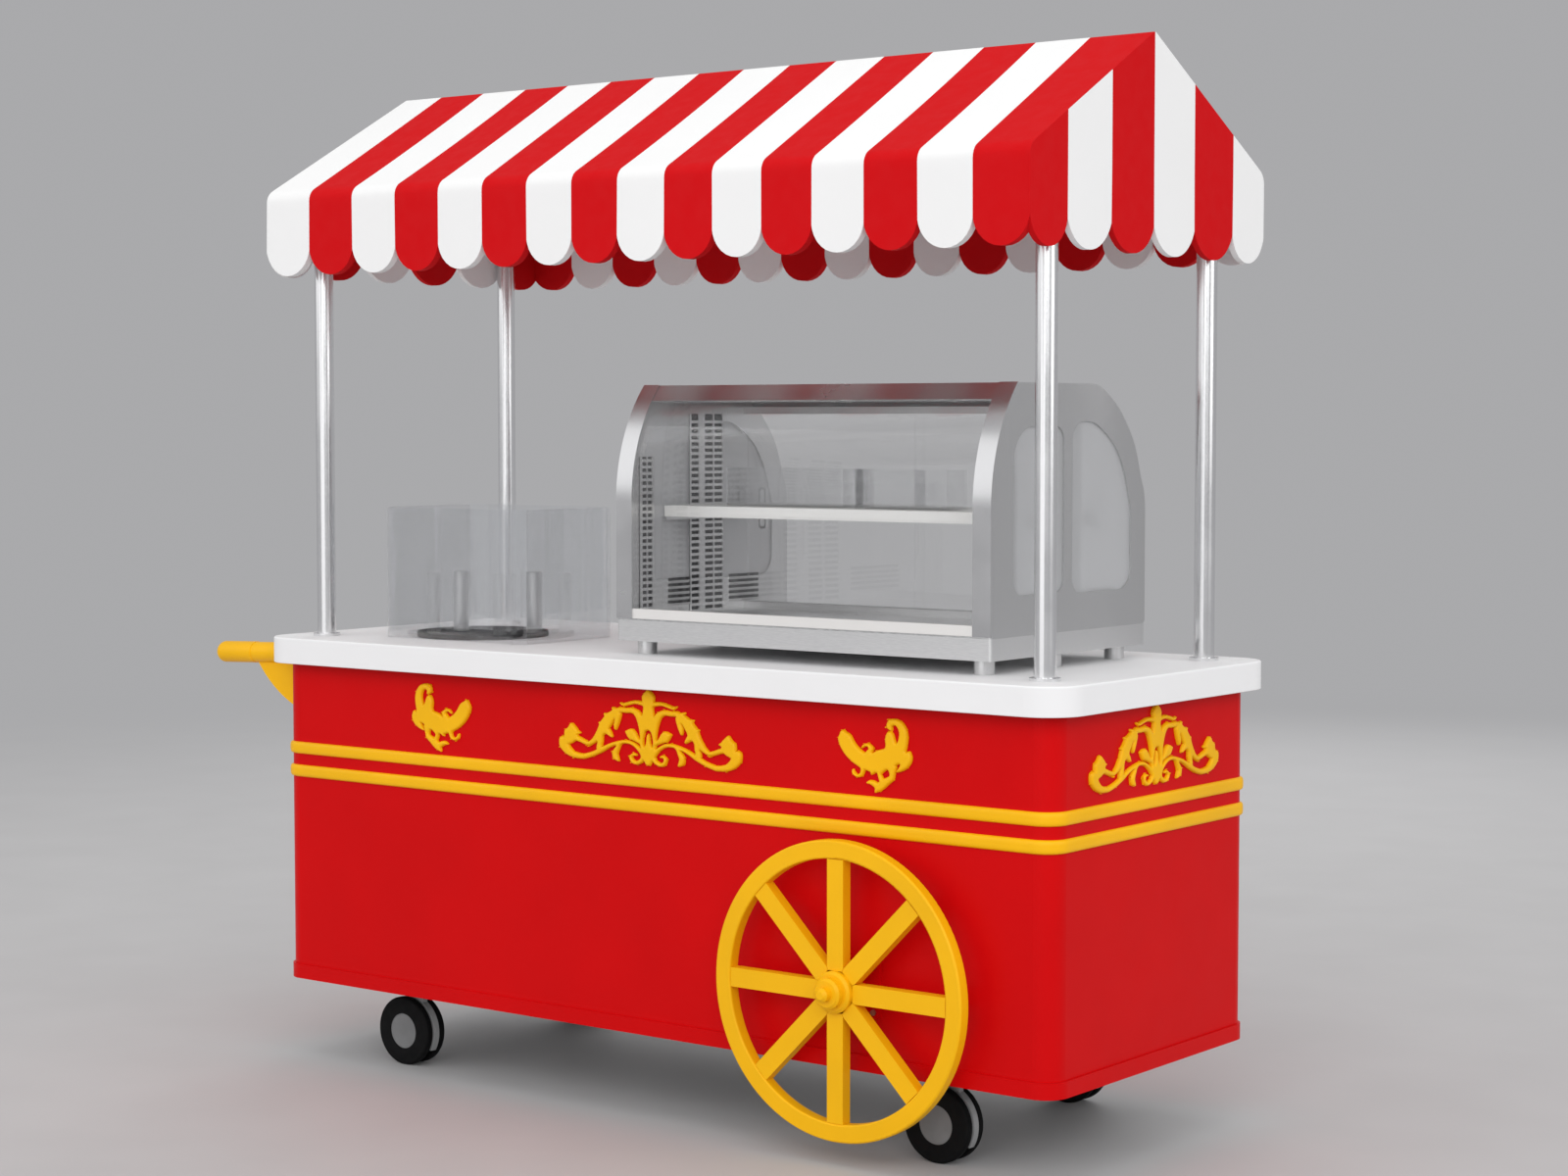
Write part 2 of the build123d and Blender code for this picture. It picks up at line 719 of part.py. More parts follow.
# Chrome posts on ring flanges
post_top = counter_top + post_high
with BuildPart() as posts:
    with BuildSketch(floor.offset(counter_top)):
        with GridLocations(2 * post_x, 2 * post_y, 2, 2):
            Circle(post_r)
            Circle(post_r - post_wall, mode=Mode.SUBTRACT)
    extrude(amount=post_high)
    with BuildSketch(floor.offset(counter_top)):
        with GridLocations(2 * post_x, 2 * post_y, 2, 2):
            Circle(post_r + 9)
            Circle(post_r + 0.2, mode=Mode.SUBTRACT)
    extrude(amount=6)
posts.part.label = "posts"
export_step(posts.part, "parts/posts.step")

# Canopy frame: square bars under the slopes, with a ridge and two eave rails
half_dep = canopy_dep / 2
half_len = canopy_len / 2
pitch = math.atan2(ridge_z - eave_z, half_dep)
drop = (cloth + 2) / math.cos(pitch)
bar_drop = drop + bar / math.cos(pitch)
rail_y = half_dep - 20
with BuildPart() as canopy_frame:
    with BuildSketch(floor.offset(post_top)):
        for side in (-1, 1):
            with Locations((side * post_x, canopy_y)):
                Rectangle(bar, 2 * rail_y)
            with Locations((canopy_x, canopy_y + side * (rail_y - bar / 2))):
                Rectangle(2 * half_len - 24, bar)
    extrude(amount=bar)
    rise_y = rail_y * math.tan(pitch)
    for x in (-post_x, -post_x / 3, post_x / 3, post_x):
        with BuildSketch(canopy_end.offset(x - canopy_x - bar / 2)):
            for side in (-1, 1):
                with BuildLine():
                    Polyline(
                        (0, ridge_z - drop),
                        (side * rail_y, ridge_z - drop - rise_y),
                        (side * rail_y, post_top),
                        (side * (rail_y - bar), post_top),
                        (0, ridge_z - bar_drop),
                        close=True,
                    )
                make_face()
        extrude(amount=bar)
    with BuildSketch(canopy_end.offset(12 - half_len)):
        with Locations((0, ridge_z - drop - bar_drop / 2 - 6)):
            Rectangle(bar, bar_drop)
    extrude(amount=canopy_len - 24)
canopy_frame.part.label = "canopy_frame"
export_step(canopy_frame.part, "parts/canopy_frame.step")

# Canopy cloth: two slopes, two gables and a scalloped edge all round
bend_low = eave_z - eave_bend * math.tan((math.pi / 2 - pitch) / 2) - 1
long_marks = []
for n in range(lobes_long + 1):
    share = n / lobes_long
    long_marks.append(canopy_len * (share + lobe_drift * share * (1 - share) ** 2) - half_len)
lobe_inner = (canopy_dep - 2 * lobe_outer) / (lobes_end - 2)
end_marks = [lobe_inner * (n - lobes_end / 2) for n in range(1, lobes_end)]
end_marks = [-half_dep, *end_marks, half_dep]
with BuildSketch(canopy_end) as roof_plan:
    with BuildLine():
        FilletPolyline(
            (-half_dep, bend_low - 60),
            (-half_dep, eave_z),
            (0, ridge_z),
            (half_dep, eave_z),
            (half_dep, bend_low - 60),
            radius=[eave_bend, 8, eave_bend],
        )
        Line((half_dep, bend_low - 60), (-half_dep, bend_low - 60))
    make_face()
with BuildPart() as canopy:
    with BuildSketch(canopy_end.offset(-half_len)):
        add(roof_plan.sketch_local)
    extrude(amount=canopy_len)
    under = canopy.faces().sort_by(Axis.Z)[0]
    offset(amount=-cloth, openings=under)
    hem_z = bend_low - 60
    for side in (-1, 1):
        with BuildSketch(canopy_front.offset(side * half_dep)):
            with BuildLine():
                Polyline((-half_len, notch_z), (-half_len, hem_z), (half_len, hem_z), (half_len, notch_z))
                for start, stop in zip(long_marks, long_marks[1:]):
                    ThreePointArc((start, notch_z), ((start + stop) / 2, scallop_z), (stop, notch_z))
            make_face()
        extrude(amount=-side * cloth)
        with BuildSketch(canopy_end.offset(side * half_len)):
            with BuildLine():
                Polyline((-half_dep, notch_z), (-half_dep, hem_z), (half_dep, hem_z), (half_dep, notch_z))
                for start, stop in zip(end_marks, end_marks[1:]):
                    ThreePointArc((start, notch_z), ((start + stop) / 2, scallop_z), (stop, notch_z))
            make_face()
        extrude(amount=-side * cloth)
canopy.part.label = "canopy"
export_step(canopy.part, "parts/canopy.step")

# Display case: a flat base on feet, two bent side walls, and glass between them
case_len = case_right - case_left
case_dep = case_back - case_front
case_mid_x = (case_left + case_right) / 2
case_mid_y = (case_front + case_back) / 2
case_low = counter_top + case_foot
deck_z = case_low + case_base
wall_z = deck_z + case_floor
with BuildPart() as display_feet:
    with BuildSketch(floor.offset(counter_top)):
        with Locations((case_mid_x, case_mid_y)):
            with GridLocations(case_len - 90, case_dep / 2 - 45, 2, 3):
                Circle(20.5)
    extrude(amount=case_foot)
display_feet.part.label = "display_feet"
export_step(display_feet.part, "parts/display_feet.step")

switch_x = case_right - 70
switch_z = case_low + case_base / 2
with BuildPart() as display_base:
    with BuildSketch(floor.offset(case_low)):
        with Locations((case_mid_x, case_mid_y)):
            RectangleRounded(case_len, case_dep, 6)
    extrude(amount=case_base)
    top = display_base.faces().sort_by(Axis.Z)[-1]
    offset(amount=-sheet, openings=top)
    with BuildSketch(front.offset(-case_back)):
        with Locations((switch_x, switch_z)):
            Rectangle(34, 32)
    extrude(amount=14)
    with BuildSketch(front.offset(-case_back)):
        with Locations((switch_x, switch_z)):
            Rectangle(24, 20)
    extrude(amount=11, mode=Mode.SUBTRACT)
    with BuildSketch(end.offset(switch_x)):
        with Locations((case_back - 5, switch_z)):
            Circle(1.5 + run_fit)
    extrude(amount=16, both=True, mode=Mode.SUBTRACT)
display_base.part.label = "display_base"
export_step(display_base.part, "parts/display_base.step")

with BuildPart() as lamp_switch:
    with BuildSketch(end.offset(switch_x - 11)):
        with BuildLine():
            Polyline(
                (case_back - 8, switch_z - 6),
                (case_back - 8, switch_z + 6),
                (case_back - 1.5, switch_z + 7.5),
                (case_back - 2.5, switch_z),
                (case_back + 1.5, switch_z - 7.5),
                close=True,
            )
        make_face()
    extrude(amount=22)
    with BuildSketch(end.offset(switch_x)):
        with Locations((case_back - 5, switch_z)):
            Circle(1.5)
    extrude(amount=15, both=True)
lamp_switch.part.label = "lamp_switch"
export_step(lamp_switch.part, "parts/lamp_switch.step")

with BuildPart() as cord_gland:
    with BuildSketch(front.offset(-case_back)):
        with Locations((switch_x - 70, switch_z)):
            RegularPolygon(10, 6)
    extrude(amount=-7)
    with BuildSketch(front.offset(-case_back - 7)):
        with Locations((switch_x - 70, switch_z)):
            Circle(7)
    extrude(amount=-10)
    with BuildSketch(front.offset(-case_back)):
        with Locations((switch_x - 70, switch_z)):
            Circle(3.5)
    extrude(amount=-20, mode=Mode.SUBTRACT)
cord_gland.part.label = "cord_gland"
export_step(cord_gland.part, "parts/cord_gland.step")

with BuildPart() as display_floor:
    with BuildSketch(floor.offset(deck_z)):
        with Locations((case_mid_x, case_mid_y)):
            RectangleRounded(case_len, case_dep, 6)
    extrude(amount=case_floor)
display_floor.part.label = "display_floor"
export_step(display_floor.part, "parts/display_floor.step")

bend_y = case_front + bend_r
top_turn = math.asin((case_top - bend_z) / bend_r)


def on_bend(radius, turn):
    """A point on the case's front curve, turned back from its upright part."""
    return (bend_y - radius * math.cos(turn), bend_z + radius * math.sin(turn))


with BuildSketch(end) as case_plan:
    with BuildLine():
        Polyline((case_back, 1240), (case_back, wall_z), (case_front, wall_z), (case_front, bend_z))
        ThreePointArc((case_front, bend_z), on_bend(bend_r, top_turn / 2), on_bend(bend_r, top_turn))
        Line(on_bend(bend_r, top_turn), (60, case_top))
        Spline(
            (60, case_top),
            (119, 1491),
            (157, 1467),
            (198, 1427),
            (231, 1379),
            (255, 1315),
            (case_back, 1240),
            tangents=[(1, 0), (0, -1)],
        )
    make_face()

with BuildSketch(end) as window_plan:
    with BuildLine():
        FilletPolyline(
            (-222, 1100),
            (-40, 1100),
            (-40, 1425),
            (-222, 1425),
            radius=[30, 30, 30, 70],
            close=True,
        )
    make_face()
    with BuildLine():
        Spline(
            (52, 1434),
            (101, 1419),
            (146, 1390),
            (177, 1353),
            (197, 1312),
            (210, 1271),
            (215, 1230),
            tangents=[(1, 0), (0, -1)],
        )
        FilletPolyline(
            (215, 1230),
            (215, 1096),
            (-10, 1096),
            (-10, 1434),
            (52, 1434),
            radius=[45, 30, 38],
        )
    make_face()

case_walls = [case_left, case_right - case_wall]
with BuildPart() as display_sides:
    for x in case_walls:
        with BuildSketch(end.offset(x)):
            add(case_plan.sketch_local)
            add(window_plan.sketch_local, mode=Mode.SUBTRACT)
        extrude(amount=case_wall)
display_sides.part.label = "display_sides"
export_step(display_sides.part, "parts/display_sides.step")

span_left = case_left + case_wall
span_right = case_right - case_wall
span = span_right - span_left
# Polished bands up the front edges, and the sill that the glass stands on
with BuildPart() as display_trim:
    for x in (case_left, case_right - band_wide):
        with BuildSketch(end.offset(x)):
            with BuildLine():
                Polyline(
                    (case_front, bend_z),
                    (case_front, wall_z),
                    (case_front - band_thick, wall_z),
                    (case_front - band_thick, bend_z),
                )
                ThreePointArc(
                    (case_front - band_thick, bend_z),
                    on_bend(bend_r + band_thick, top_turn / 2),
                    on_bend(bend_r + band_thick, top_turn),
                )
                Line(on_bend(bend_r + band_thick, top_turn), on_bend(bend_r, top_turn))
                ThreePointArc(
                    on_bend(bend_r, top_turn),
                    on_bend(bend_r, top_turn / 2),
                    (case_front, bend_z),
                )
            make_face()
        extrude(amount=band_wide)
    with BuildSketch(end.offset(span_left)):
        with Locations((case_front + sill_deep / 2, wall_z + sill_high / 2)):
            Rectangle(sill_deep - 1, sill_high)
    extrude(amount=span)
display_trim.part.label = "display_trim"
export_step(display_trim.part, "parts/display_trim.step")

# Glass: a bent front pane from the sill up to the cover's front rail, and the side windows
glass_turn = math.asin((case_top - rail_high - bend_z) / bend_r)
glass_out = bend_r - 0.5
glass_in = glass_out - pane
glass_y = bend_y - glass_out
with BuildPart() as display_glass:
    with BuildSketch(end.offset(span_left)):
        with BuildLine():
            Polyline(
                (glass_y, bend_z),
                (glass_y, wall_z + sill_high),
                (glass_y + pane, wall_z + sill_high),
                (glass_y + pane, bend_z),
            )
            ThreePointArc(
                (glass_y + pane, bend_z),
                on_bend(glass_in, glass_turn / 2),
                on_bend(glass_in, glass_turn),
            )
            Line(on_bend(glass_in, glass_turn), on_bend(glass_out, glass_turn))
            ThreePointArc(
                on_bend(glass_out, glass_turn),
                on_bend(glass_out, glass_turn / 2),
                (glass_y, bend_z),
            )
        make_face()
    extrude(amount=span)
    for x in case_walls:
        with BuildSketch(end.offset(x + (case_wall - window_pane) / 2)):
            add(window_plan.sketch_local)
        extrude(amount=window_pane)
display_glass.part.label = "display_glass"
export_step(display_glass.part, "parts/display_glass.step")

# Cover over the top: a rail above the glass, a flat roof, and a short bend down at the back
rail_turn = glass_turn + 0.004
roof_turn = math.asin((case_top - cover - bend_z) / (bend_r - cover))
roof_back = 60
with BuildPart() as display_cover:
    with BuildSketch(end.offset(span_left)):
        with BuildLine():
            ThreePointArc(
                on_bend(bend_r, rail_turn),
                on_bend(bend_r, (rail_turn + top_turn) / 2),
                on_bend(bend_r, top_turn),
            )
            Line(on_bend(bend_r, top_turn), (roof_back, case_top))
            ThreePointArc((roof_back, case_top), (119, 1491), (157, lip_z))
            Line((157, lip_z), (151, lip_z))
            ThreePointArc((151, lip_z), (114, 1487), (roof_back, case_top - cover))
            Polyline(
                (roof_back, case_top - cover),
                on_bend(bend_r - cover, roof_turn),
                on_bend(bend_r - cover, rail_turn),
                on_bend(bend_r, rail_turn),
            )
        make_face()
    extrude(amount=span)
display_cover.part.label = "display_cover"
export_step(display_cover.part, "parts/display_cover.step")

# Grooved tracks and two sliding glass doors at the back
groove_deep = 10
upper_z = lip_z - track_high
with BuildPart() as display_tracks:
    for z, cut_z in ((wall_z, wall_z + track_high - groove_deep), (upper_z, upper_z)):
        with BuildSketch(end.offset(span_left)):
            with Locations((track_y, z + track_high / 2)):
                Rectangle(track_deep, track_high)
            with Locations((track_y, cut_z + groove_deep / 2)):
                with GridLocations(groove_gap, 0, 2, 1):
                    Rectangle(groove, groove_deep, mode=Mode.SUBTRACT)
        extrude(amount=span)
display_tracks.part.label = "display_tracks"
export_step(display_tracks.part, "parts/display_tracks.step")

pane_low = wall_z + track_high - groove_deep + 1
pane_high = upper_z + groove_deep - 1
slide_wide = span / 2 + slide_overlap / 2 - 3
pull_z = (pane_low + pane_high) / 2
slides = [
    ("left", track_y - groove_gap / 2, span_left + 3, span_left + 40),
    ("right", track_y + groove_gap / 2, span_right - 3 - slide_wide, span_right - 40),
]
for name, y, x, grip_x in slides:
    with BuildPart() as slide:
        with BuildSketch(end.offset(x)):
            with Locations((y, (pane_low + pane_high) / 2)):
                Rectangle(pane, pane_high - pane_low)
        extrude(amount=slide_wide)
    slide.part.label = f"display_door_{name}"
    export_step(slide.part, f"parts/display_door_{name}.step")

    with BuildPart() as grip:
        with BuildSketch(front.offset(-y - pane / 2)):
            with Locations((grip_x, pull_z)):
                RectangleRounded(20, 90, 6)
                RectangleRounded(12, 80, 4, mode=Mode.SUBTRACT)
        extrude(amount=-7)
    grip.part.label = f"display_grip_{name}"
    export_step(grip.part, f"parts/display_grip_{name}.step")

# Slotted standards on the walls with a ledge on each side, and the shelf on the ledges
ledge_high = 8
ledge_deep = 12
strip_thick = 4
with BuildPart() as shelf_standards:
    for x, side in ((span_left, 1), (span_right, -1)):
        with BuildSketch(end.offset(x)):
            for fore, aft, top_z in standard_spans:
                with Locations(((fore + aft) / 2, (wall_z + top_z) / 2)):
                    Rectangle(aft - fore, top_z - wall_z)
        extrude(amount=side * strip_thick)
        with BuildSketch(end.offset(x)):
            with Locations(((rack_front + rack_back) / 2, rack_top - rack_thick - ledge_high / 2)):
                Rectangle(rack_back - rack_front, ledge_high)
        extrude(amount=side * (strip_thick + ledge_deep))
shelf_standards.part.label = "shelf_standards"
export_step(shelf_standards.part, "parts/shelf_standards.step")

with BuildPart() as display_shelf:
    with BuildSketch(floor.offset(rack_top - rack_thick)):
        with Locations(((span_left + span_right) / 2, (rack_front + rack_back) / 2)):
            RectangleRounded(span - 2 * strip_thick - 1, rack_back - rack_front, 4)
    extrude(amount=rack_thick)
display_shelf.part.label = "display_shelf"
export_step(display_shelf.part, "parts/display_shelf.step")

# Two clear open dishes on the shelf
with BuildPart() as shelf_dishes:
    for left, right in dish_spans:
        with BuildSketch(floor.offset(rack_top)):
            with Locations(((left + right) / 2, dish_front + dish_deep / 2)):
                RectangleRounded(right - left, dish_deep, 5)
        extrude(amount=dish_high)
        with BuildSketch(floor.offset(rack_top + dish_wall)):
            with Locations(((left + right) / 2, dish_front + dish_deep / 2)):
                RectangleRounded(right - left - 2 * dish_wall, dish_deep - 2 * dish_wall, 2)
        extrude(amount=dish_high - dish_wall, mode=Mode.SUBTRACT)
shelf_dishes.part.label = "shelf_dishes"
export_step(shelf_dishes.part, "parts/shelf_dishes.step")

lamp_y = -150
lamp_z = case_top - cover - 14
with BuildPart() as display_lamp:
    with BuildSketch(end.offset(span_left + 60)):
        with Locations((lamp_y, lamp_z)):
            Circle(10)
    extrude(amount=span - 120)
    for x in (span_left + 60, span_right - 72):
        with BuildSketch(end.offset(x)):
            with Locations((lamp_y, lamp_z + 2)):
                Rectangle(22, 24)
        extrude(amount=12)
display_lamp.part.label = "display_lamp"
export_step(display_lamp.part, "parts/display_lamp.step")

# Clear guard, open at the top, round a tray with two plain steel tubes
with BuildPart() as guard:
    with BuildSketch(floor.offset(counter_top)):
        with Locations((guard_x, guard_y)):
            RectangleRounded(guard_len, guard_dep, guard_corner)
            RectangleRounded(
                guard_len - 2 * guard_wall,
                guard_dep - 2 * guard_wall,
                guard_corner - guard_wall,
                mode=Mode.SUBTRACT,
            )
    extrude(amount=guard_high)
guard.part.label = "guard"
export_step(guard.part, "parts/guard.step")

tray_bottom = 4
with BuildPart() as tray:
    with BuildSketch(floor.offset(counter_top)):
        with Locations((tray_x, tray_y)):
            Circle(tray_r)
    extrude(amount=tray_high)
    with BuildSketch(floor.offset(counter_top + tray_bottom)):
        with Locations((tray_x, tray_y)):
            Circle(tray_r - 5)
    extrude(amount=tray_high - tray_bottom, mode=Mode.SUBTRACT)
    fillet(tray.edges().group_by(Axis.Z)[-1], radius=2)
tray.part.label = "tray"
export_step(tray.part, "parts/tray.step")

with BuildPart() as tubes:
    with BuildSketch(floor.offset(counter_top + tray_bottom)):
        with Locations(*tube_places):
            Circle(tube_r)
    extrude(amount=tube_high)
    with BuildSketch(floor.offset(counter_top + tray_bottom + 3)):
        with Locations(*tube_places):
            Circle(tube_r - 1.5)
    extrude(amount=tube_high, mode=Mode.SUBTRACT)
tubes.part.label = "tubes"
export_step(tubes.part, "parts/tubes.step")
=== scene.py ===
import json
import math

import bpy
import numpy as np
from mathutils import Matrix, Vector, bvhtree, geometry, kdtree


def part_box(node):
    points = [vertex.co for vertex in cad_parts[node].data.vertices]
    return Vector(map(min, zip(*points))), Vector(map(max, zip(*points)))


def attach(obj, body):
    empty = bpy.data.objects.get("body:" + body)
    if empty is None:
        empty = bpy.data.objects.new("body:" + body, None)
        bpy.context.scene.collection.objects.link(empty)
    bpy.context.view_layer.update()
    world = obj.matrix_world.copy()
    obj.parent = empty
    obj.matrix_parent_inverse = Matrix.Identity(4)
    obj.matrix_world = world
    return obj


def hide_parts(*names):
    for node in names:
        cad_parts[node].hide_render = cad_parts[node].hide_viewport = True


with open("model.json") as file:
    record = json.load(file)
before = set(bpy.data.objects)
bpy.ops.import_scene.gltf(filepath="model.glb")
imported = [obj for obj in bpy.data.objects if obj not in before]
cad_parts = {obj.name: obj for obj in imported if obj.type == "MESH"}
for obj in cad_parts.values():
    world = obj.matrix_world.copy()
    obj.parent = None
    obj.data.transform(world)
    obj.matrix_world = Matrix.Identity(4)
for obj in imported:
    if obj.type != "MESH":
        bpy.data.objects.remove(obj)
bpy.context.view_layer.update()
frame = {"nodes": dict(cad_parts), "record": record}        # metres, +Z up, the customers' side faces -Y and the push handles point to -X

nodes = frame["nodes"]
scene = bpy.context.scene
MM = 0.001
NEAR = 0.1 * MM

# Camera at the photograph's angle: metres, degrees, and millimetres of lens and sensor
CAMERA_PLACE = (4.0232, -4.9151, 1.4359)
CAMERA_PITCH = 86.7355
CAMERA_YAW = 37.48
CAMERA_LENS = 67.40
CAMERA_SENSOR = 36.0

# Paint, cloth and wood colours, as sRGB values
RED = (207, 8, 12)
YELLOW = (246, 185, 8)
WHITE = (238, 238, 239)
CLOTH_RED = (210, 10, 18)
CLOTH_WHITE = (246, 246, 246)
PLY_DARK = (150, 108, 66)
PLY_LIGHT = (199, 158, 108)

# Canopy, in metres: heights above the floor, then the cloth's bend, thickness, lean and unevenness;
# the padding's reach is a share of the valance, and the crease is in degrees
EAVE_Z = 1.935
RIDGE_Z = 2.182
NOTCH_Z = 1.808
EAVE_BEND = 0.032
CLOTH = 0.0014
VALANCE = 0.018
VALANCE_END = 0.013
PADDING_REACH = 0.25
STRIPE_LEAN = -0.021
SAG = 0.004
RIPPLE_SIDE = 0.0022
RIPPLE_END = 0.0012
CLOTH_CREASE = 50.0
RAFTER_SHARES = (-1, -1 / 3, 1 / 3, 1)

# Relief ornament, in metres: mesh spacing, upright foot, reach of the dome, and clearances off the wall
RELIEF_GRID = 0.0016
RELIEF_ROW = 0.866 * RELIEF_GRID
RELIEF_ROOM = 0.6 * RELIEF_GRID
RELIEF_SAMPLE = 0.0005
RELIEF_FOOT = 0.0022
RELIEF_DOME = 0.0062
RELIEF_CAP = 0.004
RELIEF_BACK = 0.0001

# Rounded edges: widths in millimetres, then angles in degrees up to which faces are merged as flat,
# and from which an edge is rounded
EDGES = {
    "wheel_rim": 2.5,
    "wheel_spokes": 2.0,
    "wheel_hub": 1.5,
    "handle_front": 1.2,
    "handle_back": 1.2,
    "display_base": 1.2,
    "display_feet": 1.5,
    "display_shelf": 6.0,
    "door_left": 1.0,
    "door_right": 1.0,
    "skirt": 1.0,
}
SILL_EDGE = 0.8
FLAT_ANGLE = 0.3
EDGE_ANGLE = 40.0

# Studio, in metres: linear colours, the light from all round, and each lamp's place, watts and size
BACKDROP = (0.40, 0.40, 0.41, 1)
FLOOR_DARK = (0.50, 0.495, 0.50, 1)
FLOOR_LIGHT = (0.52, 0.515, 0.52, 1)
FLOOR_REACH = 60.0
FLOOR_FADE = (3.0, 10.0)
WORLD_LIGHT = 0.66
LAMP_AIM = (0.1, 0.0, 1.0)
LAMPS = [
    ("key", (5.6, -7.2, 5.0), 325, (9.0, 6.0)),
    ("left", (-4.2, -6.0, 4.1), 106, (9.0, 5.0)),
    ("front", (0.6, -7.5, 1.1), 27, (6.0, 2.0)),
    ("side", (7.6, 0.4, 3.8), 105, (4.0, 5.0)),
    ("top", (0.2, -1.2, 6.6), 50, (6.0, 4.0)),
    ("back", (-3.0, 7.0, 3.6), 160, (6.0, 5.0)),
]


def linear(colour):
    """A colour of three sRGB values from 0 to 255, as linear numbers."""
    values = [c / 255 for c in colour]
    return (*[v / 12.92 if v <= 0.04045 else ((v + 0.055) / 1.055) ** 2.4 for v in values], 1.0)


def shade(colour, factor):
    """A linear colour made lighter or darker."""
    return (*[min(c * factor, 1.0) for c in colour[:3]], 1.0)


# Materials


class Surface:
    """A material under construction: its node tree, its shader, and short calls that add nodes."""

    NOISE_SPAN = (0.3, 0.7)          # what a noise texture mostly fills
    MIX_INPUTS, MIX_OUTPUT = (0, 6, 7), 2        # the Mix node's factor, two colours and result

    def __init__(self, name, **constants):
        self.material = bpy.data.materials.new(name)
        self.material.use_nodes = True
        self.tree = self.material.node_tree
        self.shader = self.tree.nodes["Principled BSDF"]
        for socket, value in constants.items():
            self.shader.inputs[socket.replace("_", " ")].default_value = value

    def feed(self, socket, value):
        """Links a node's output to a socket, or sets a plain value on it."""
        if isinstance(value, bpy.types.NodeSocket):
            self.tree.links.new(value, socket)
        else:
            socket.default_value = value

    def node(self, kind, inputs=(), **settings):
        made = self.tree.nodes.new(kind)
        for key, value in settings.items():
            setattr(made, key, value)
        for key, value in dict(inputs).items():
            self.feed(made.inputs[key], value)
        return made

    def place(self, stretch=(1, 1, 1), source="Object"):
        """Coordinates on the piece, in metres, scaled along each axis."""
        coordinates = self.node("ShaderNodeTexCoord")
        mapping = self.node("ShaderNodeMapping", {"Vector": coordinates.outputs[source], "Scale": stretch})
        return mapping.outputs["Vector"]

    def noise(self, scale, detail=3.0, stretch=(1, 1, 1)):
        vector = self.place(stretch)
        made = self.node("ShaderNodeTexNoise", {"Vector": vector, "Scale": scale, "Detail": detail})
        return made.outputs["Fac"]

    def spread(self, value, low=0.0, high=1.0):
        """A noise value stretched to run from low to high."""
        first, last = self.NOISE_SPAN
        made = self.node(
            "ShaderNodeMapRange",
            {"Value": value, "From Min": first, "From Max": last, "To Min": low, "To Max": high},
        )
        return made.outputs["Result"]

    def mix(self, factor, first, second):
        made = self.node("ShaderNodeMix", data_type="RGBA")
        for index, value in zip(self.MIX_INPUTS, (factor, first, second)):
            self.feed(made.inputs[index], value)
        return made.outputs[self.MIX_OUTPUT]

    def set(self, socket, value):
        self.tree.links.new(value, self.shader.inputs[socket])

    def bump(self, height, strength, distance):
        made = self.node("ShaderNodeBump", {"Height": height, "Strength": strength, "Distance": distance})
        self.set("Normal", made.outputs["Normal"])


def paint(name, colour, rough=(0.30, 0.40), vary=0.05, peel=0.10, **constants):
    """Sprayed gloss paint: faint clouding, uneven gloss and orange peel."""
    base = linear(colour)
    made = Surface(name, **constants)
    cloud = made.spread(made.noise(scale=5.0, detail=4.0))
    made.set("Base Color", made.mix(cloud, shade(base, 1 - vary), shade(base, 1 + vary)))
    made.set("Roughness", made.spread(made.noise(scale=14.0, detail=5.0), *rough))
    made.bump(made.noise(scale=700.0, detail=2.0), strength=peel, distance=0.4 * MM)
    return made.material


def brushed(name, value, stretch, rough=(0.22, 0.36), **constants):
    """Metal with fine brush lines along the axis whose stretch is small."""
    made = Surface(name, Metallic=1.0, **constants)
    lines = made.noise(scale=60.0, detail=4.0, stretch=stretch)
    dark = (value * 0.90, value * 0.90, value * 0.905, 1)
    light = (value * 1.06, value * 1.06, value * 1.06, 1)
    made.set("Base Color", made.mix(made.spread(lines), dark, light))
    made.set("Roughness", made.spread(lines, *rough))
    made.bump(lines, strength=0.05, distance=0.3 * MM)
    return made.material


def polished(name, value, rough):
    """Bright metal with faint smears."""
    made = Surface(name, Metallic=1.0)
    smear = made.noise(scale=9.0, detail=5.0)
    first = (value * 0.97, value * 0.97, value * 0.98, 1)
    second = (value, value, value * 1.01, 1)
    made.set("Base Color", made.mix(made.spread(smear), first, second))
    made.set("Roughness", made.spread(smear, *rough))
    return made.material


def clear(name, tint, ior, rough=(0.0, 0.02), through=1.0, alpha=1.0):
    """Glass or acrylic with faint smears; a low alpha lets the lamps light what is behind it."""
    base = linear(tint)
    made = Surface(name, Transmission_Weight=through, IOR=ior, Alpha=alpha)
    smear = made.noise(scale=7.0, detail=4.0)
    made.set("Base Color", made.mix(made.spread(smear), base, shade(base, 0.99)))
    made.set("Roughness", made.spread(smear, *rough))
    return made.material


def cloth(name, colour):
    """Woven awning cloth: crossed threads, a dull surface and slight fading."""
    base = linear(colour)
    made = Surface(name, Specular_IOR_Level=0.12)
    vector = made.place(source="UV")
    threads = [
        made.node(
            "ShaderNodeTexWave",
            {"Vector": vector, "Scale": 240.0, "Distortion": 0.6, "Detail": 2.0, "Detail Scale": 1.0},
            bands_direction=direction,
        ).outputs["Fac"]
        for direction in ("X", "Y")
    ]
    weave = made.node("ShaderNodeMath", {0: threads[0], 1: threads[1]}, operation="MULTIPLY").outputs[0]
    faded = made.spread(made.noise(scale=3.0, detail=5.0))
    tone = made.mix(faded, shade(base, 0.96), shade(base, 1.03))
    made.set("Base Color", made.mix(weave, shade(base, 0.93), tone))
    made.set("Roughness", made.spread(made.noise(scale=30.0), 0.72, 0.88))
    made.bump(weave, strength=0.12, distance=0.4 * MM)
    return made.material


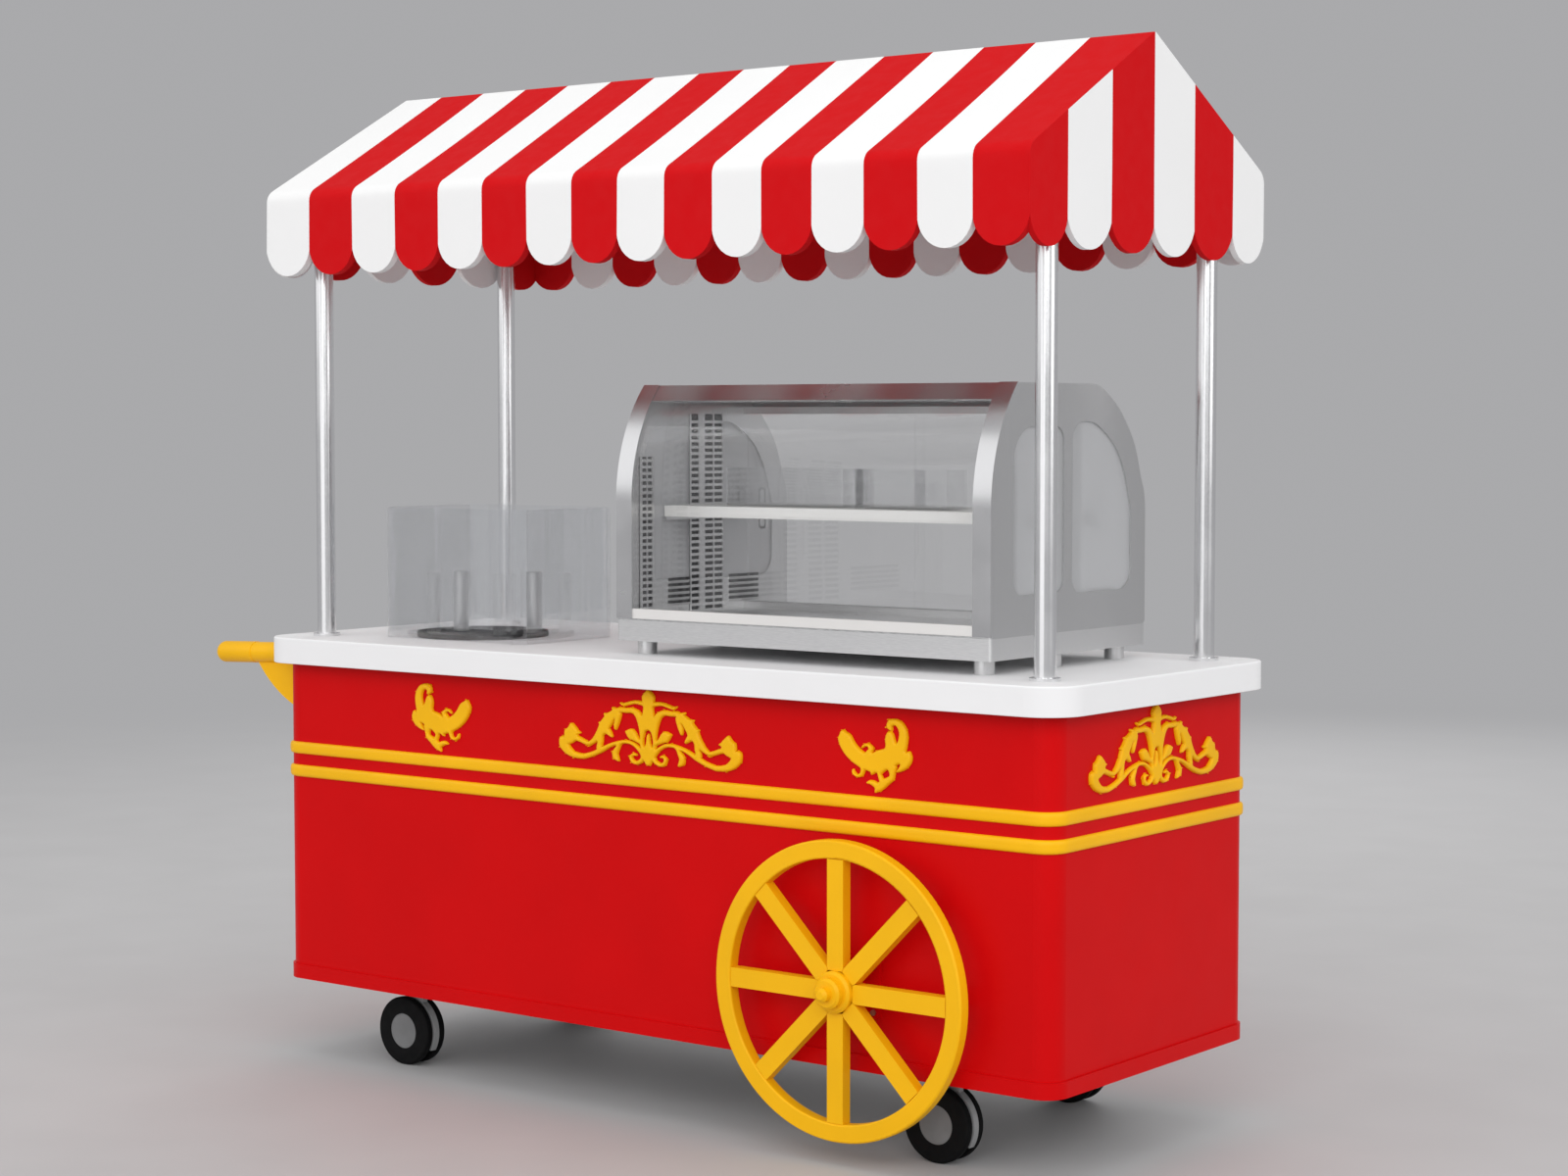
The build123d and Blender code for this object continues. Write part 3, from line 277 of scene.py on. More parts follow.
def moulded(name, colour, rough=(0.45, 0.6), grain=0.12, **constants):
    """Plastic, rubber, enamel or cast metal with a fine surface grain."""
    base = linear(colour)
    made = Surface(name, **constants)
    cloud = made.spread(made.noise(scale=20.0, detail=4.0))
    made.set("Base Color", made.mix(cloud, shade(base, 0.88), shade(base, 1.10)))
    made.set("Roughness", made.spread(made.noise(scale=45.0, detail=4.0), *rough))
    made.bump(made.noise(scale=900.0, detail=2.0), strength=grain, distance=0.6 * MM)
    return made.material


def plywood(name):
    """Plywood with its grain along the cart."""
    made = Surface(name)
    rings = made.noise(scale=18.0, detail=6.0, stretch=(0.4, 6.0, 6.0))
    made.set("Base Color", made.mix(made.spread(rings), linear(PLY_DARK), linear(PLY_LIGHT)))
    made.set("Roughness", made.spread(rings, 0.55, 0.75))
    made.bump(rings, strength=0.1, distance=0.6 * MM)
    return made.material


LOOKS = {
    "red": paint("red_paint", RED, vary=0.03, Specular_IOR_Level=0.07),
    "yellow_steel": paint("yellow_paint", YELLOW, rough=(0.34, 0.44), Specular_IOR_Level=0.2),
    "yellow_wood": paint(
        "yellow_wheel_paint", YELLOW, rough=(0.40, 0.52), peel=0.22, Specular_IOR_Level=0.2
    ),
    "yellow_relief": paint(
        "yellow_resin", YELLOW, rough=(0.34, 0.44), peel=0.14, Specular_IOR_Level=0.18
    ),
    "white_top": paint(
        "white_counter", WHITE, rough=(0.45, 0.55), vary=0.012, peel=0.04, Specular_IOR_Level=0.03
    ),
    "white_board": paint("white_shelf", (236, 236, 234), vary=0.015),
    "board": plywood("plywood"),
    "steel": brushed("satin_steel", 0.71, stretch=(1.0, 60.0, 60.0), Anisotropic=0.4),
    "base_steel": brushed("base_steel", 0.76, stretch=(1.0, 30.0, 30.0), rough=(0.40, 0.46)),
    "polished": polished("polished_steel", 0.70, rough=(0.20, 0.28)),
    "chrome": polished("chrome_post", 0.86, rough=(0.18, 0.26)),
    "frame_steel": moulded("black_frame", (34, 34, 36), grain=0.2),
    "alu": brushed("satin_aluminium", 0.66, stretch=(1.0, 50.0, 50.0), rough=(0.3, 0.42)),
    "zinc": brushed("zinc_plate", 0.50, stretch=(6.0, 6.0, 6.0), rough=(0.35, 0.5)),
    "castor_grey": moulded("grey_nylon", (118, 119, 120), rough=(0.38, 0.5)),
    # The castor hoods: the same grey nylon painted lighter, as painted light that offsets the shade under
    # the cart
    "castor_hood": moulded("nylon_painted_lighter", (158, 159, 160), rough=(0.38, 0.5)),
    "rubber": moulded(
        "black_rubber", (11, 11, 12), rough=(0.6, 0.8), grain=0.3, Specular_IOR_Level=0.15
    ),
    "clear": clear("clear_glass", (254, 254, 254), ior=1.45, alpha=0.12),
    "frosted": clear("frosted_glass", (219, 220, 222), ior=1.45, rough=(0.42, 0.50), through=0.5),
    "acrylic": clear("clear_acrylic", (243, 246, 250), ior=1.45, alpha=0.3),
    "dish": clear("clear_dish", (251, 252, 253), ior=1.3, alpha=0.25),
    # The sill of the polished front trim: pale paint as a painted reflection of its polished metal
    "sill": paint("sill_painted_reflection", (221, 219, 217), vary=0.02, peel=0.03),
    "tray_dark": moulded(
        "dark_enamel", (34, 34, 36), rough=(0.55, 0.68), grain=0.25, Specular_IOR_Level=0.2
    ),
    "switch": moulded("black_plastic", (18, 18, 20), rough=(0.3, 0.4)),
    "lamp": moulded("opal_tube", (236, 238, 236), rough=(0.25, 0.35), grain=0.02),
}
CLOTHS = [cloth("red_cloth", CLOTH_RED), cloth("white_cloth", CLOTH_WHITE)]

OTHER_LOOKS = {"shelf_dishes": "dish", "display_base": "base_steel"}
# Castor hoods take the lighter copy of the nylon, painted light against the shade under the cart
OTHER_LOOKS.update({name: "castor_hood" for name in nodes if name.endswith("_hood")})

for row in frame["record"]["subparts"]:
    look = OTHER_LOOKS.get(row["node"], row["material_slot"])
    if look in LOOKS:
        mesh = nodes[row["node"]].data
        mesh.materials.clear()
        mesh.materials.append(LOOKS[look])


# Mesh pieces


def piece(name, points, faces, looks, face_looks=None, sharp=35.0):
    """A mesh from points and faces, smooth up to the sharp angle, that rides on the cart."""
    mesh = bpy.data.meshes.new(name)
    mesh.from_pydata([tuple(p) for p in points], [], [tuple(f) for f in faces])
    for look in looks:
        mesh.materials.append(look)
    if face_looks is not None:
        mesh.polygons.foreach_set("material_index", face_looks)
    mesh.shade_smooth()
    mesh.set_sharp_from_angle(angle=math.radians(sharp))
    made = bpy.data.objects.new(name, mesh)
    scene.collection.objects.link(made)
    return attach(made, "cart")


def shells(name):
    """The separate closed surfaces of a CAD node, each as its points and faces."""
    mesh = nodes[name].data
    merged = {}
    same = [merged.setdefault(tuple(round(c, 5) for c in v.co), len(merged)) for v in mesh.vertices]
    places = list(merged)
    above = list(range(len(places)))

    def root(k):
        while above[k] != k:
            above[k] = above[above[k]]
            k = above[k]
        return k

    faces = [[same[k] for k in polygon.vertices] for polygon in mesh.polygons]
    for face in faces:
        for k in face[1:]:
            above[root(k)] = root(face[0])
    groups = {}
    for face in faces:
        if len(set(face)) == len(face):
            groups.setdefault(root(face[0]), []).append(face)
    found = []
    for members in groups.values():
        order = {k: n for n, k in enumerate(dict.fromkeys(k for face in members for k in face))}
        found.append(([places[k] for k in order], [[order[k] for k in face] for face in members]))
    return found


def joined(parts):
    """Several surfaces as the points and faces of one."""
    points, faces = [], []
    for part_points, part_faces in parts:
        first = len(points)
        points += part_points
        faces += [[first + k for k in face] for face in part_faces]
    return points, faces


def block(points, faces, low, high):
    """A box between two corners, added to a mesh."""
    first = len(points)
    points += [(x, y, z) for x in (low[0], high[0]) for y in (low[1], high[1]) for z in (low[2], high[2])]
    for quad in ((0, 1, 3, 2), (4, 6, 7, 5), (0, 4, 5, 1), (2, 3, 7, 6), (0, 2, 6, 4), (1, 5, 7, 3)):
        faces.append(tuple(first + k for k in quad))


def soften(made, width):
    """Small rounded edges on a piece or a CAD node; the width is in millimetres."""
    dissolve = made.modifiers.new("planes", "DECIMATE")
    dissolve.decimate_type = "DISSOLVE"
    dissolve.angle_limit = math.radians(FLAT_ANGLE)
    bevel = made.modifiers.new("edges", "BEVEL")
    bevel.width = width * MM
    bevel.segments = 2
    bevel.limit_method = "ANGLE"
    bevel.angle_limit = math.radians(EDGE_ANGLE)
    bevel.harden_normals = True


# Canopy: one sheet with two slopes, two gables and a scalloped edge all round


def notch_places(along):
    """Where the notches of the CAD canopy stand along one axis, measured from its middle."""
    low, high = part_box("canopy")
    middle = (low + high) / 2
    across = 1 - along
    found = {
        round(v.co[along] - middle[along], 4)
        for v in nodes["canopy"].data.vertices
        if abs(v.co.z - NOTCH_Z) < NEAR and abs(v.co[across] - low[across]) < NEAR
    }
    return sorted(found)


def lobe_marks(notches, steps):
    """Places along a scalloped edge, closer together towards the notches."""
    shares = [(1 - math.cos(math.pi * k / steps)) / 2 for k in range(steps)]
    marks = [a + (b - a) * share for a, b in zip(notches, notches[1:]) for share in shares]
    return marks + notches[-1:]


def hem_height(along, notches, low):
    """The height of a scalloped edge, a round arc between each two notches."""
    start, end = next((a, b) for a, b in zip(notches, notches[1:]) if along < b + NEAR)
    half = (end - start) / 2
    off = along - (start + end) / 2
    deep = NOTCH_Z - low
    radius = (half * half + deep * deep) / (2 * deep)
    return low + radius - math.sqrt(max(radius * radius - off * off, 0.0))


def drape(places, half_len, half_dep, bend_low, hem_low, rafters):
    """Lets the slopes sag between the rafters, and the valance ripple towards its hem."""
    for p in places:
        x, y, z = p
        slope = 1 - abs(y) / half_dep
        bay = [(a, b) for a, b in zip(rafters, rafters[1:]) if a < x < b]
        if bay and z > bend_low:
            start, end = bay[0]
            across = math.sin(math.pi * (x - start) / (end - start)) ** 2
            p[2] -= SAG * across * 4 * slope * (1 - slope)
        if z < bend_low:
            hang = (bend_low - z) / (bend_low - hem_low)
            side_wave = math.sin(x * 9.1 + 1.0) * math.cos(x * 3.7)
            end_wave = math.sin(y * 11.0 + 0.6)
            if abs(y) > half_dep - NEAR:
                p[1] += math.copysign(RIPPLE_SIDE, y) * hang * side_wave
            if abs(x) > half_len - NEAR:
                p[0] += math.copysign(RIPPLE_END, x) * hang * end_wave


def thicken(made, places, middle_x, half_len, bend_low):
    """Gives the sheet the thickness of its cloth, and the padding of the valance below the eave."""
    end_band = 4 * MM
    hanging = made.vertex_groups.new(name="valance")
    for k, (x, _, z) in enumerate(places):
        at_end = abs(x - middle_x) > half_len - end_band
        full = ((VALANCE_END if at_end else VALANCE) - CLOTH) / (VALANCE - CLOTH)
        hang = (bend_low - z) / (bend_low - NOTCH_Z)
        hanging.add([k], full * min(max(hang / PADDING_REACH, 0.0), 1.0), "REPLACE")
    thick = made.modifiers.new("cloth", "SOLIDIFY")
    thick.thickness = VALANCE
    thick.vertex_group = hanging.name
    thick.thickness_vertex_group = CLOTH / VALANCE
    thick.use_even_offset = True
    thick.offset = -1.0
    graph = bpy.context.evaluated_depsgraph_get()
    solid = bpy.data.meshes.new_from_object(made.evaluated_get(graph))
    made.modifiers.clear()
    made.data = solid
    solid.set_sharp_from_angle(angle=math.radians(CLOTH_CREASE))


def canopy():
    """The striped cloth, with its flat size worked out from the CAD canopy's box and notches."""
    low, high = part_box("canopy")
    middle = (low + high) / 2
    half_len = (high.x - low.x) / 2
    half_dep = (high.y - low.y) / 2
    pitch = math.atan2(RIDGE_Z - EAVE_Z, half_dep)
    bend_low = EAVE_Z - EAVE_BEND * math.tan((math.pi / 2 - pitch) / 2)
    bend_end = half_dep - EAVE_BEND * (1 - math.sin(pitch))
    steps_long, steps_end = 14, 20
    hang_rows, gable_rows = 9, 6
    notches_long, notches_end = notch_places(0), notch_places(1)
    xs = lobe_marks(notches_long, steps_long)
    ys = lobe_marks(notches_end, steps_end)
    ridge_row = hang_rows + len(ys) // 2
    found, points, faces, looks, flats = {}, [], [], [], []

    def roof_height(y):
        """The height of the cloth: a straight slope, then a round bend at the eave."""
        y = abs(y)
        if y > bend_end:
            off = y - (half_dep - EAVE_BEND)
            return bend_low + math.sqrt(max(EAVE_BEND**2 - off * off, 0.0))
        return min(RIDGE_Z - y * math.tan(pitch), high.z)

    def leaned(x, y):
        """The stripes lean towards the left end on their way up, except at the gables."""
        room = min((half_len - abs(x)) / (notches_long[1] - notches_long[0]), 1.0)
        return x + STRIPE_LEAN * room * (1 - abs(y) / half_dep)

    def hanging_rows(hem):
        """Heights from the hem up to just below the bend."""
        return [hem + (bend_low - hem) * k / hang_rows for k in range(hang_rows)]

    def point(x, y, z):
        """The number of a point, shared where two parts of the sheet meet."""
        key = (round(x, 5), round(y, 5), round(z, 5))
        if key not in found:
            found[key] = len(points)
            points.append(key)
        return found[key]

    def quads(grid, colours, flip):
        """Faces of a grid of (point, flat place), with a colour for each row and column."""
        for i in range(len(grid) - 1):
            for j in range(len(grid[0]) - 1):
                corners = [grid[i][j], grid[i + 1][j], grid[i + 1][j + 1], grid[i][j + 1]]
                corners = corners[::-1] if flip else corners
                faces.append([c[0] for c in corners])
                flats.append([c[1] for c in corners])
                looks.append(colours(i, j))

    roof = []
    for x in xs:
        hung = hanging_rows(hem_height(x, notches_long, low.z))
        line = [(-half_dep, z) for z in hung] + [(y, roof_height(y)) for y in ys]
        line += [(half_dep, z) for z in reversed(hung)]
        column, run = [], 0.0
        for k, (y, z) in enumerate(line):
            run += math.dist((y, z), line[k - 1]) if k else 0.0
            column.append((point(leaned(x, y), y, z), (leaned(x, y), run)))
        roof.append(column)
    quads(roof, lambda i, j: (i // steps_long + (j >= ridge_row)) % 2 == 0, False)

    for side in (-1, 1):
        gable = []
        for y in ys:
            rise = roof_height(y) - bend_low
            upper = [bend_low + rise * k / gable_rows for k in range(gable_rows + 1)]
            column = hanging_rows(hem_height(y, notches_end, low.z)) + upper
            gable.append([(point(side * half_len, y, z), (y, z)) for z in column])
        quads(gable, lambda i, j: (i // steps_end + (side > 0)) % 2 == 0, side < 0)

    keep = [k for k, face in enumerate(faces) if len(set(face)) >= 3]
    clean = [list(dict.fromkeys(faces[k])) for k in keep]
    places = np.array(points)
    posts_low, posts_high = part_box("posts")
    post_mid = (posts_low.x + posts_high.x) / 2 - middle.x
    post_half = (posts_high.x - posts_low.x) / 2
    rafters = [post_mid + post_half * share for share in RAFTER_SHARES]
    drape(places, half_len, half_dep, bend_low, low.z, rafters)
    places += np.array(middle) * (1, 1, 0)
    colours = [int(looks[k]) for k in keep]
    made = piece("canopy_cloth", places, clean, CLOTHS, face_looks=colours, sharp=CLOTH_CREASE)
    uv = made.data.uv_layers.new(name="cut")
    for polygon, k in zip(made.data.polygons, keep):
        flat_of = dict(zip(faces[k], flats[k]))
        for loop in polygon.loop_indices:
            uv.data[loop].uv = flat_of[made.data.loops[loop].vertex_index]
    thicken(made, places, middle.x, half_len, bend_low)
    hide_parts("canopy")


canopy()


# Rounded yellow strips round the front and the ends


def outline(half_x, half_y, radius, stop):
    """Places and outward directions round the cabinet, from one side of the back to the other."""
    turns = 14
    path = [((-stop, half_y), (0, 1))]
    corners = [
        ((-half_x + radius, half_y - radius), 90),
        ((-half_x + radius, -half_y + radius), 180),
        ((half_x - radius, -half_y + radius), 270),
        ((half_x - radius, half_y - radius), 360),
    ]
    for (x, y), start in corners:
        for k in range(turns + 1):
            a = math.radians(start + 90 * k / turns)
            out = (math.cos(a), math.sin(a))
            path.append(((x + radius * out[0], y + radius * out[1]), out))
    return path + [((stop, half_y), (0, 1))]


def strips():
    """Both strips, swept with a rounded section between the CAD strips' heights."""
    low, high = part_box("trim_strips")
    shell_low, shell_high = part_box("body_shell")
    middle = (shell_low + shell_high) / 2
    half = (shell_high - shell_low) / 2
    proud = high.x - shell_high.x
    flat_end = max(v.co.x for v in nodes["body_shell"].data.vertices if abs(v.co.y - shell_low.y) < NEAR)
    corners = nodes["trim_strips"].data.vertices
    stop = min(abs(v.co.x - middle.x) for v in corners if abs(v.co.y - high.y) < NEAR)
    levels = sorted({round(v.co.z, 4) for v in corners})
    path = outline(half.x, half.y, shell_high.x - flat_end, stop)
    points, faces = [], []
    around = 18
    flank, crown = 3.2, 2.4
    for bottom, top in zip(levels[::2], levels[1::2]):
        first = len(points)
        for (x, y), (nx, ny) in path:
            for k in range(around + 1):
                t = -1 + 2 * k / around
                out = proud * (1 - abs(t) ** flank) ** (1 / crown)
                z = bottom + (top - bottom) * k / around
                points.append((middle.x + x + nx * out, middle.y + y + ny * out, z))
        ring = around + 1
        for i in range(len(path) - 1):
            for k in range(around):
                a = first + i * ring + k
                faces.append((a, a + 1, a + ring + 1, a + ring))
            a = first + i * ring
            faces.append((a, a + ring, a + ring + around, a + around))
        last = first + (len(path) - 1) * ring
        faces.append(tuple(range(first + around, first - 1, -1)))
        faces.append(tuple(range(last, last + ring)))
    made = piece("trim_bands", points, faces, [LOOKS["yellow_steel"]], sharp=60.0)
    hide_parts("trim_strips")


strips()


# Relief ornament: the outline of each CAD piece, smoothed, and domed towards the middle of its strokes


def border_of(faces):
    """The directed edges that only one of the faces has."""
    uses = {}
    for face in faces:
        for a, b in zip(face, face[1:] + face[:1]):
            uses.setdefault(frozenset((a, b)), []).append((a, b))
    return [pairs[0] for pairs in uses.values() if len(pairs) == 1]


def loops(edges):
    """Closed runs of corners from directed edges."""
    after = {a: b for a, b in edges}
    found = []
    while after:
        first, here = next(iter(after.items()))
        run = [first]
        del after[first]
        while here != first:
            run.append(here)
            here = after.pop(here)
        found.append(run)
    return found


def rounded(run):
    """A closed outline with its corners cut back twice, as a flexible pattern would trace it."""
    for _ in range(2):
        pairs = list(zip(run, run[1:] + run[:1]))
        run = [p for a, b in pairs for p in (a.lerp(b, 0.25), a.lerp(b, 0.75))]
    return run


def cap_shape(mesh, caps, flat_axis):
    """The corners of a set of caps as flat places, and their faces."""
    merged, flat, faces = {}, [], []
    for polygon in caps:
        corners = []
        for index in polygon.vertices:
            place = mesh.vertices[index].co
            key = (round(place[flat_axis], 5), round(place.z, 5))
            if key not in merged:
                merged[key] = len(flat)
                flat.append(Vector(key))
            corners.append(merged[key])
        if len(set(corners)) == len(corners):
            faces.append(corners)
    return flat, faces


def rim_tree(rim, lines):
    """A search tree of places close together along an outline."""
    samples = []
    for i, j in lines:
        a, b = rim[i], rim[j]
        parts = max(1, int((a - b).length / RELIEF_SAMPLE))
        samples += [a.lerp(b, k / parts) for k in range(parts)]
    tree = kdtree.KDTree(len(samples))
    for k, place in enumerate(samples):
        tree.insert(place.to_3d(), k)
    tree.balance()
    return tree


def grid_clear_of(rim, near):
    """An even grid over an outline's box, without the places that come close to the outline."""
    low = Vector((min(p.x for p in rim), min(p.y for p in rim)))
    high = Vector((max(p.x for p in rim), max(p.y for p in rim)))
    found = []
    for j in range(int((high.y - low.y) / RELIEF_ROW) + 1):
        for i in range(int((high.x - low.x) / RELIEF_GRID) + 1):
            place = low + Vector(((i + 0.5 * (j % 2)) * RELIEF_GRID, j * RELIEF_ROW))
            if near.find(place.to_3d())[2] > RELIEF_ROOM:
                found.append(place)
    return found


def relief(name, node):
    """Domed ornament in place of a CAD node's flat pieces on the front and the right end."""
    mesh = nodes[node].data
    shell_low, shell_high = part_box("body_shell")
    points, faces = [], []
    for axis, sign, wall in ((1, -1, shell_low.y), (0, 1, shell_high.x)):
        caps = [
            p
            for p in mesh.polygons
            if p.normal[axis] * sign > 0.99 and (p.center[axis] - wall) * sign > RELIEF_CAP
        ]
        if not caps:
            continue
        flat_axis = 1 - axis
        tall = (caps[0].center[axis] - wall) * sign
        flat, cap_faces = cap_shape(mesh, caps, flat_axis)
        inside = bvhtree.BVHTree.FromPolygons([p.to_3d() for p in flat], cap_faces)
        rim, lines = [], []
        for run in loops(border_of(cap_faces)):
            smooth = rounded([flat[i] for i in run])
            first, count = len(rim), len(smooth)
            rim += smooth
            lines += [(first + k, first + (k + 1) % count) for k in range(count)]
        near = rim_tree(rim, lines)
        inner = grid_clear_of(rim, near)
        corners, _, triangles = geometry.delaunay_2d_cdt(rim + inner, lines, [], 0, 1e-7)[:3]
        ids, front = {}, []
        for tri in triangles:
            middle = sum((corners[i] for i in tri), Vector((0, 0))) / 3
            if inside.ray_cast(Vector((middle.x, middle.y, 1)), Vector((0, 0, -1)))[0] is None:
                continue
            for i in tri:
                if i not in ids:
                    place = corners[i]
                    share = min(near.find(place.to_3d())[2] / RELIEF_DOME, 1.0)
                    swell = (tall - RELIEF_FOOT) * math.sqrt(1 - (1 - share) ** 2)
                    spot = [0.0, 0.0, place.y]
                    spot[flat_axis] = place.x
                    spot[axis] = wall + sign * (RELIEF_FOOT + swell)
                    ids[i] = len(points)
                    points.append(spot)
            front.append([ids[i] for i in tri])
        faces += front
        under = {}
        for a, b in border_of(front):
            for i in (a, b):
                if i not in under:
                    under[i] = len(points)
                    spot = list(points[i])
                    spot[axis] = wall + sign * RELIEF_BACK
                    points.append(spot)
            faces.append((b, a, under[a], under[b]))
    made = piece(name, points, faces, [LOOKS["yellow_relief"]], sharp=70.0)
    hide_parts(node)


relief("crest_reliefs", "crests")
relief("spray_reliefs", "sprays")


# Display case: slotted standards whose slots are darkened by black backs as painted shade, panes, front
# trim, and louvres below the windows


def standards():
    """Slotted plates on both side walls over black backs that paint the shade in the slots, and the ledges
    that carry the shelf.
    """
    low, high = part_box("shelf_standards")
    shelf_low, shelf_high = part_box("display_shelf")
    front_wide, front_rise = 44 * MM, 103 * MM
    back_start, back_end = 180 * MM, 68 * MM
    front_slots = (0.14, 0.46, 0.54, 0.86)
    back_slots = (0.03, 0.26, 0.44, 0.69, 0.73, 0.98)
    pitch, slot = 13.5 * MM, 7.5 * MM
    thick, lining = 4 * MM, 1.2 * MM
    ledge_deep, ledge_high, ledge_gap = 12 * MM, 8 * MM, 0.3 * MM
    columns = [
        (low.y, low.y + front_wide, front_slots, shelf_high.z + front_rise),
        (high.y - back_start, high.y - back_end, back_slots, high.z),
    ]
    plate, shade_backs = ([], []), ([], [])
    for inner, side in ((low.x, 1), (high.x, -1)):
        x = sorted((inner + side * lining, inner + side * thick))
        behind = sorted((inner, inner + side * lining))
        for y0, y1, marks, top in columns:
            wide = y1 - y0
            block(*shade_backs, (behind[0], y0, low.z), (behind[1], y1, top))
            edges = [0.0, *marks, 1.0]
            for a, b in zip(edges[::2], edges[1::2]):
                block(*plate, (x[0], y0 + a * wide, low.z), (x[1], y0 + b * wide, top))
            count = int((top - low.z - slot) / pitch)
            for a, b in zip(marks[::2], marks[1::2]):
                for k in range(count + 1):
                    bottom = low.z + k * pitch
                    upper = min(bottom + pitch - slot, top)
                    block(*plate, (x[0], y0 + a * wide, bottom), (x[1], y0 + b * wide, upper))
        ledge = sorted((inner, inner + side * ledge_deep))
        ledge_low = (ledge[0], shelf_low.y, shelf_low.z - ledge_high)
        block(*plate, ledge_low, (ledge[1], shelf_high.y, shelf_low.z - ledge_gap))
    made = piece("slotted_plates", *plate, [LOOKS["steel"]], sharp=30.0)
    # Black backs behind the slots: painted shade, where real slots would show only shadow
    dark = piece("slot_shade_backs", *shade_backs, [LOOKS["frame_steel"]], sharp=30.0)
    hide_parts("shelf_standards")


standards()


def glazing():
    """The bent front pane, and the frosted panes in the side walls."""
    wall_low, wall_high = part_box("display_cover")
    front, sides = [], []
    for points, faces in shells("display_glass"):
        middle = sum(p[0] for p in points) / len(points)
        (front if wall_low.x < middle < wall_high.x else sides).append((points, faces))
    pane = piece("front_glass", *joined(front), [LOOKS["clear"]])
    frosted = piece("side_panes", *joined(sides), [LOOKS["frosted"]])
    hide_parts("display_glass")


glazing()


def front_trim():
    """The polished bands up the front edges, and the sill between them, in pale paint that stands in for
    the bright reflection of its polished metal.
    """
    low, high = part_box("display_trim")
    bands, sill = [], []
    for points, faces in shells("display_trim"):
        wide = max(p[0] for p in points) - min(p[0] for p in points)
        (sill if wide > (high.x - low.x) / 2 else bands).append((points, faces))
    bright = piece("front_bands", *joined(bands), [LOOKS["polished"]])
    strip = piece("front_sill", *joined(sill), [LOOKS["sill"]])
    soften(strip, SILL_EDGE)
    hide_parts("display_trim")


front_trim()


def louvres():
    """Pressed louvres low on the inner faces of the side walls, open at the top over thin black plates
    that paint the shade of their openings.
    """
    wall_low, wall_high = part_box("display_cover")
    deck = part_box("display_floor")[1].z
    shelf_low, shelf_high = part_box("display_shelf")
    rows, first_row, pitch = 5, 20 * MM, 12 * MM
    tall, deep, sheet = 4.5 * MM, 2.6 * MM, 0.5 * MM
    foot, slot_inset, slot_skin = 0.3 * MM, 2 * MM, (0.1 * MM, 0.5 * MM)
    spans = [
        (shelf_low.y + 17 * MM, shelf_low.y + 92 * MM),
        (shelf_high.y - 46 * MM, shelf_high.y + 62 * MM),
    ]
    across, round_steps = 16, 6
    ring = round_steps + 1
    hoods, shade_plates = ([], []), ([], [])
    for wall, side in ((wall_low.x, 1), (wall_high.x, -1)):
        skin = sorted(wall + side * off for off in slot_skin)
        for start, end in spans:
            for row in range(rows):
                bottom = deck + first_row + row * pitch
                slot_low = (skin[0], start + slot_inset, bottom)
                block(*shade_plates, slot_low, (skin[1], end - slot_inset, bottom + 2 * tall))
                first = len(hoods[0])
                for i in range(across + 1):
                    u = 2 * i / across - 1
                    swell = (1 - u**6) ** 0.5
                    for k in range(round_steps + 1):
                        a = math.pi / 2 * k / round_steps
                        out = foot + deep * swell * math.sin(a)
                        z = bottom + 0.6 * tall - tall * math.cos(a)
                        hoods[0].append((wall + side * out, start + (end - start) * i / across, z))
                for i in range(across):
                    for k in range(round_steps):
                        a = first + i * ring + k
                        quad = (a, a + 1, a + ring + 1, a + ring)
                        hoods[1].append(quad if side < 0 else quad[::-1])
    made = piece("louvres", *hoods, [LOOKS["steel"]], sharp=40.0)
    shell = made.modifiers.new("sheet", "SOLIDIFY")
    shell.thickness = sheet
    # Black plates under the hoods: painted shade in place of the openings' shadow
    dark = piece("louvre_slot_shade", *shade_plates, [LOOKS["frame_steel"]], sharp=30.0)


louvres()


# Edges that catch the light on the plain CAD nodes
for name, width in EDGES.items():
    soften(nodes[name], width)


# Stage: a pale floor that fades into the backdrop, soft lamps and the camera


def pale_floor():
    """A round floor that turns into the backdrop's colour far from the cart."""
    mesh = bpy.data.meshes.new("floor")
    count = 96
    angles = [2 * math.pi * k / count for k in range(count)]
    ring = [(FLOOR_REACH * math.cos(a), FLOOR_REACH * math.sin(a), 0) for a in angles]
    mesh.from_pydata(ring, [], [tuple(range(count))])
    floor = bpy.data.objects.new("floor", mesh)
    scene.collection.objects.link(floor)
    look = Surface("floor_paper", Roughness=0.6, Specular_IOR_Level=0.2)
    speckle = look.spread(look.noise(scale=3.0))
    look.set("Base Color", look.mix(speckle, FLOOR_DARK, FLOOR_LIGHT))
    position = look.node("ShaderNodeNewGeometry").outputs["Position"]
    away = look.node("ShaderNodeVectorMath", {0: position}, operation="LENGTH").outputs["Value"]
    fade_start, fade_end = FLOOR_FADE
    far = look.node(
        "ShaderNodeMapRange",
        {"Value": away, "From Min": fade_start, "From Max": fade_end},
        interpolation_type="SMOOTHSTEP",
    ).outputs["Result"]
    glow = look.node("ShaderNodeEmission", {"Color": BACKDROP})
    blend = look.node("ShaderNodeMixShader", {0: far, 1: look.shader.outputs[0], 2: glow.outputs[0]})
    look.tree.links.new(blend.outputs[0], look.tree.nodes["Material Output"].inputs["Surface"])
    mesh.materials.append(look.material)


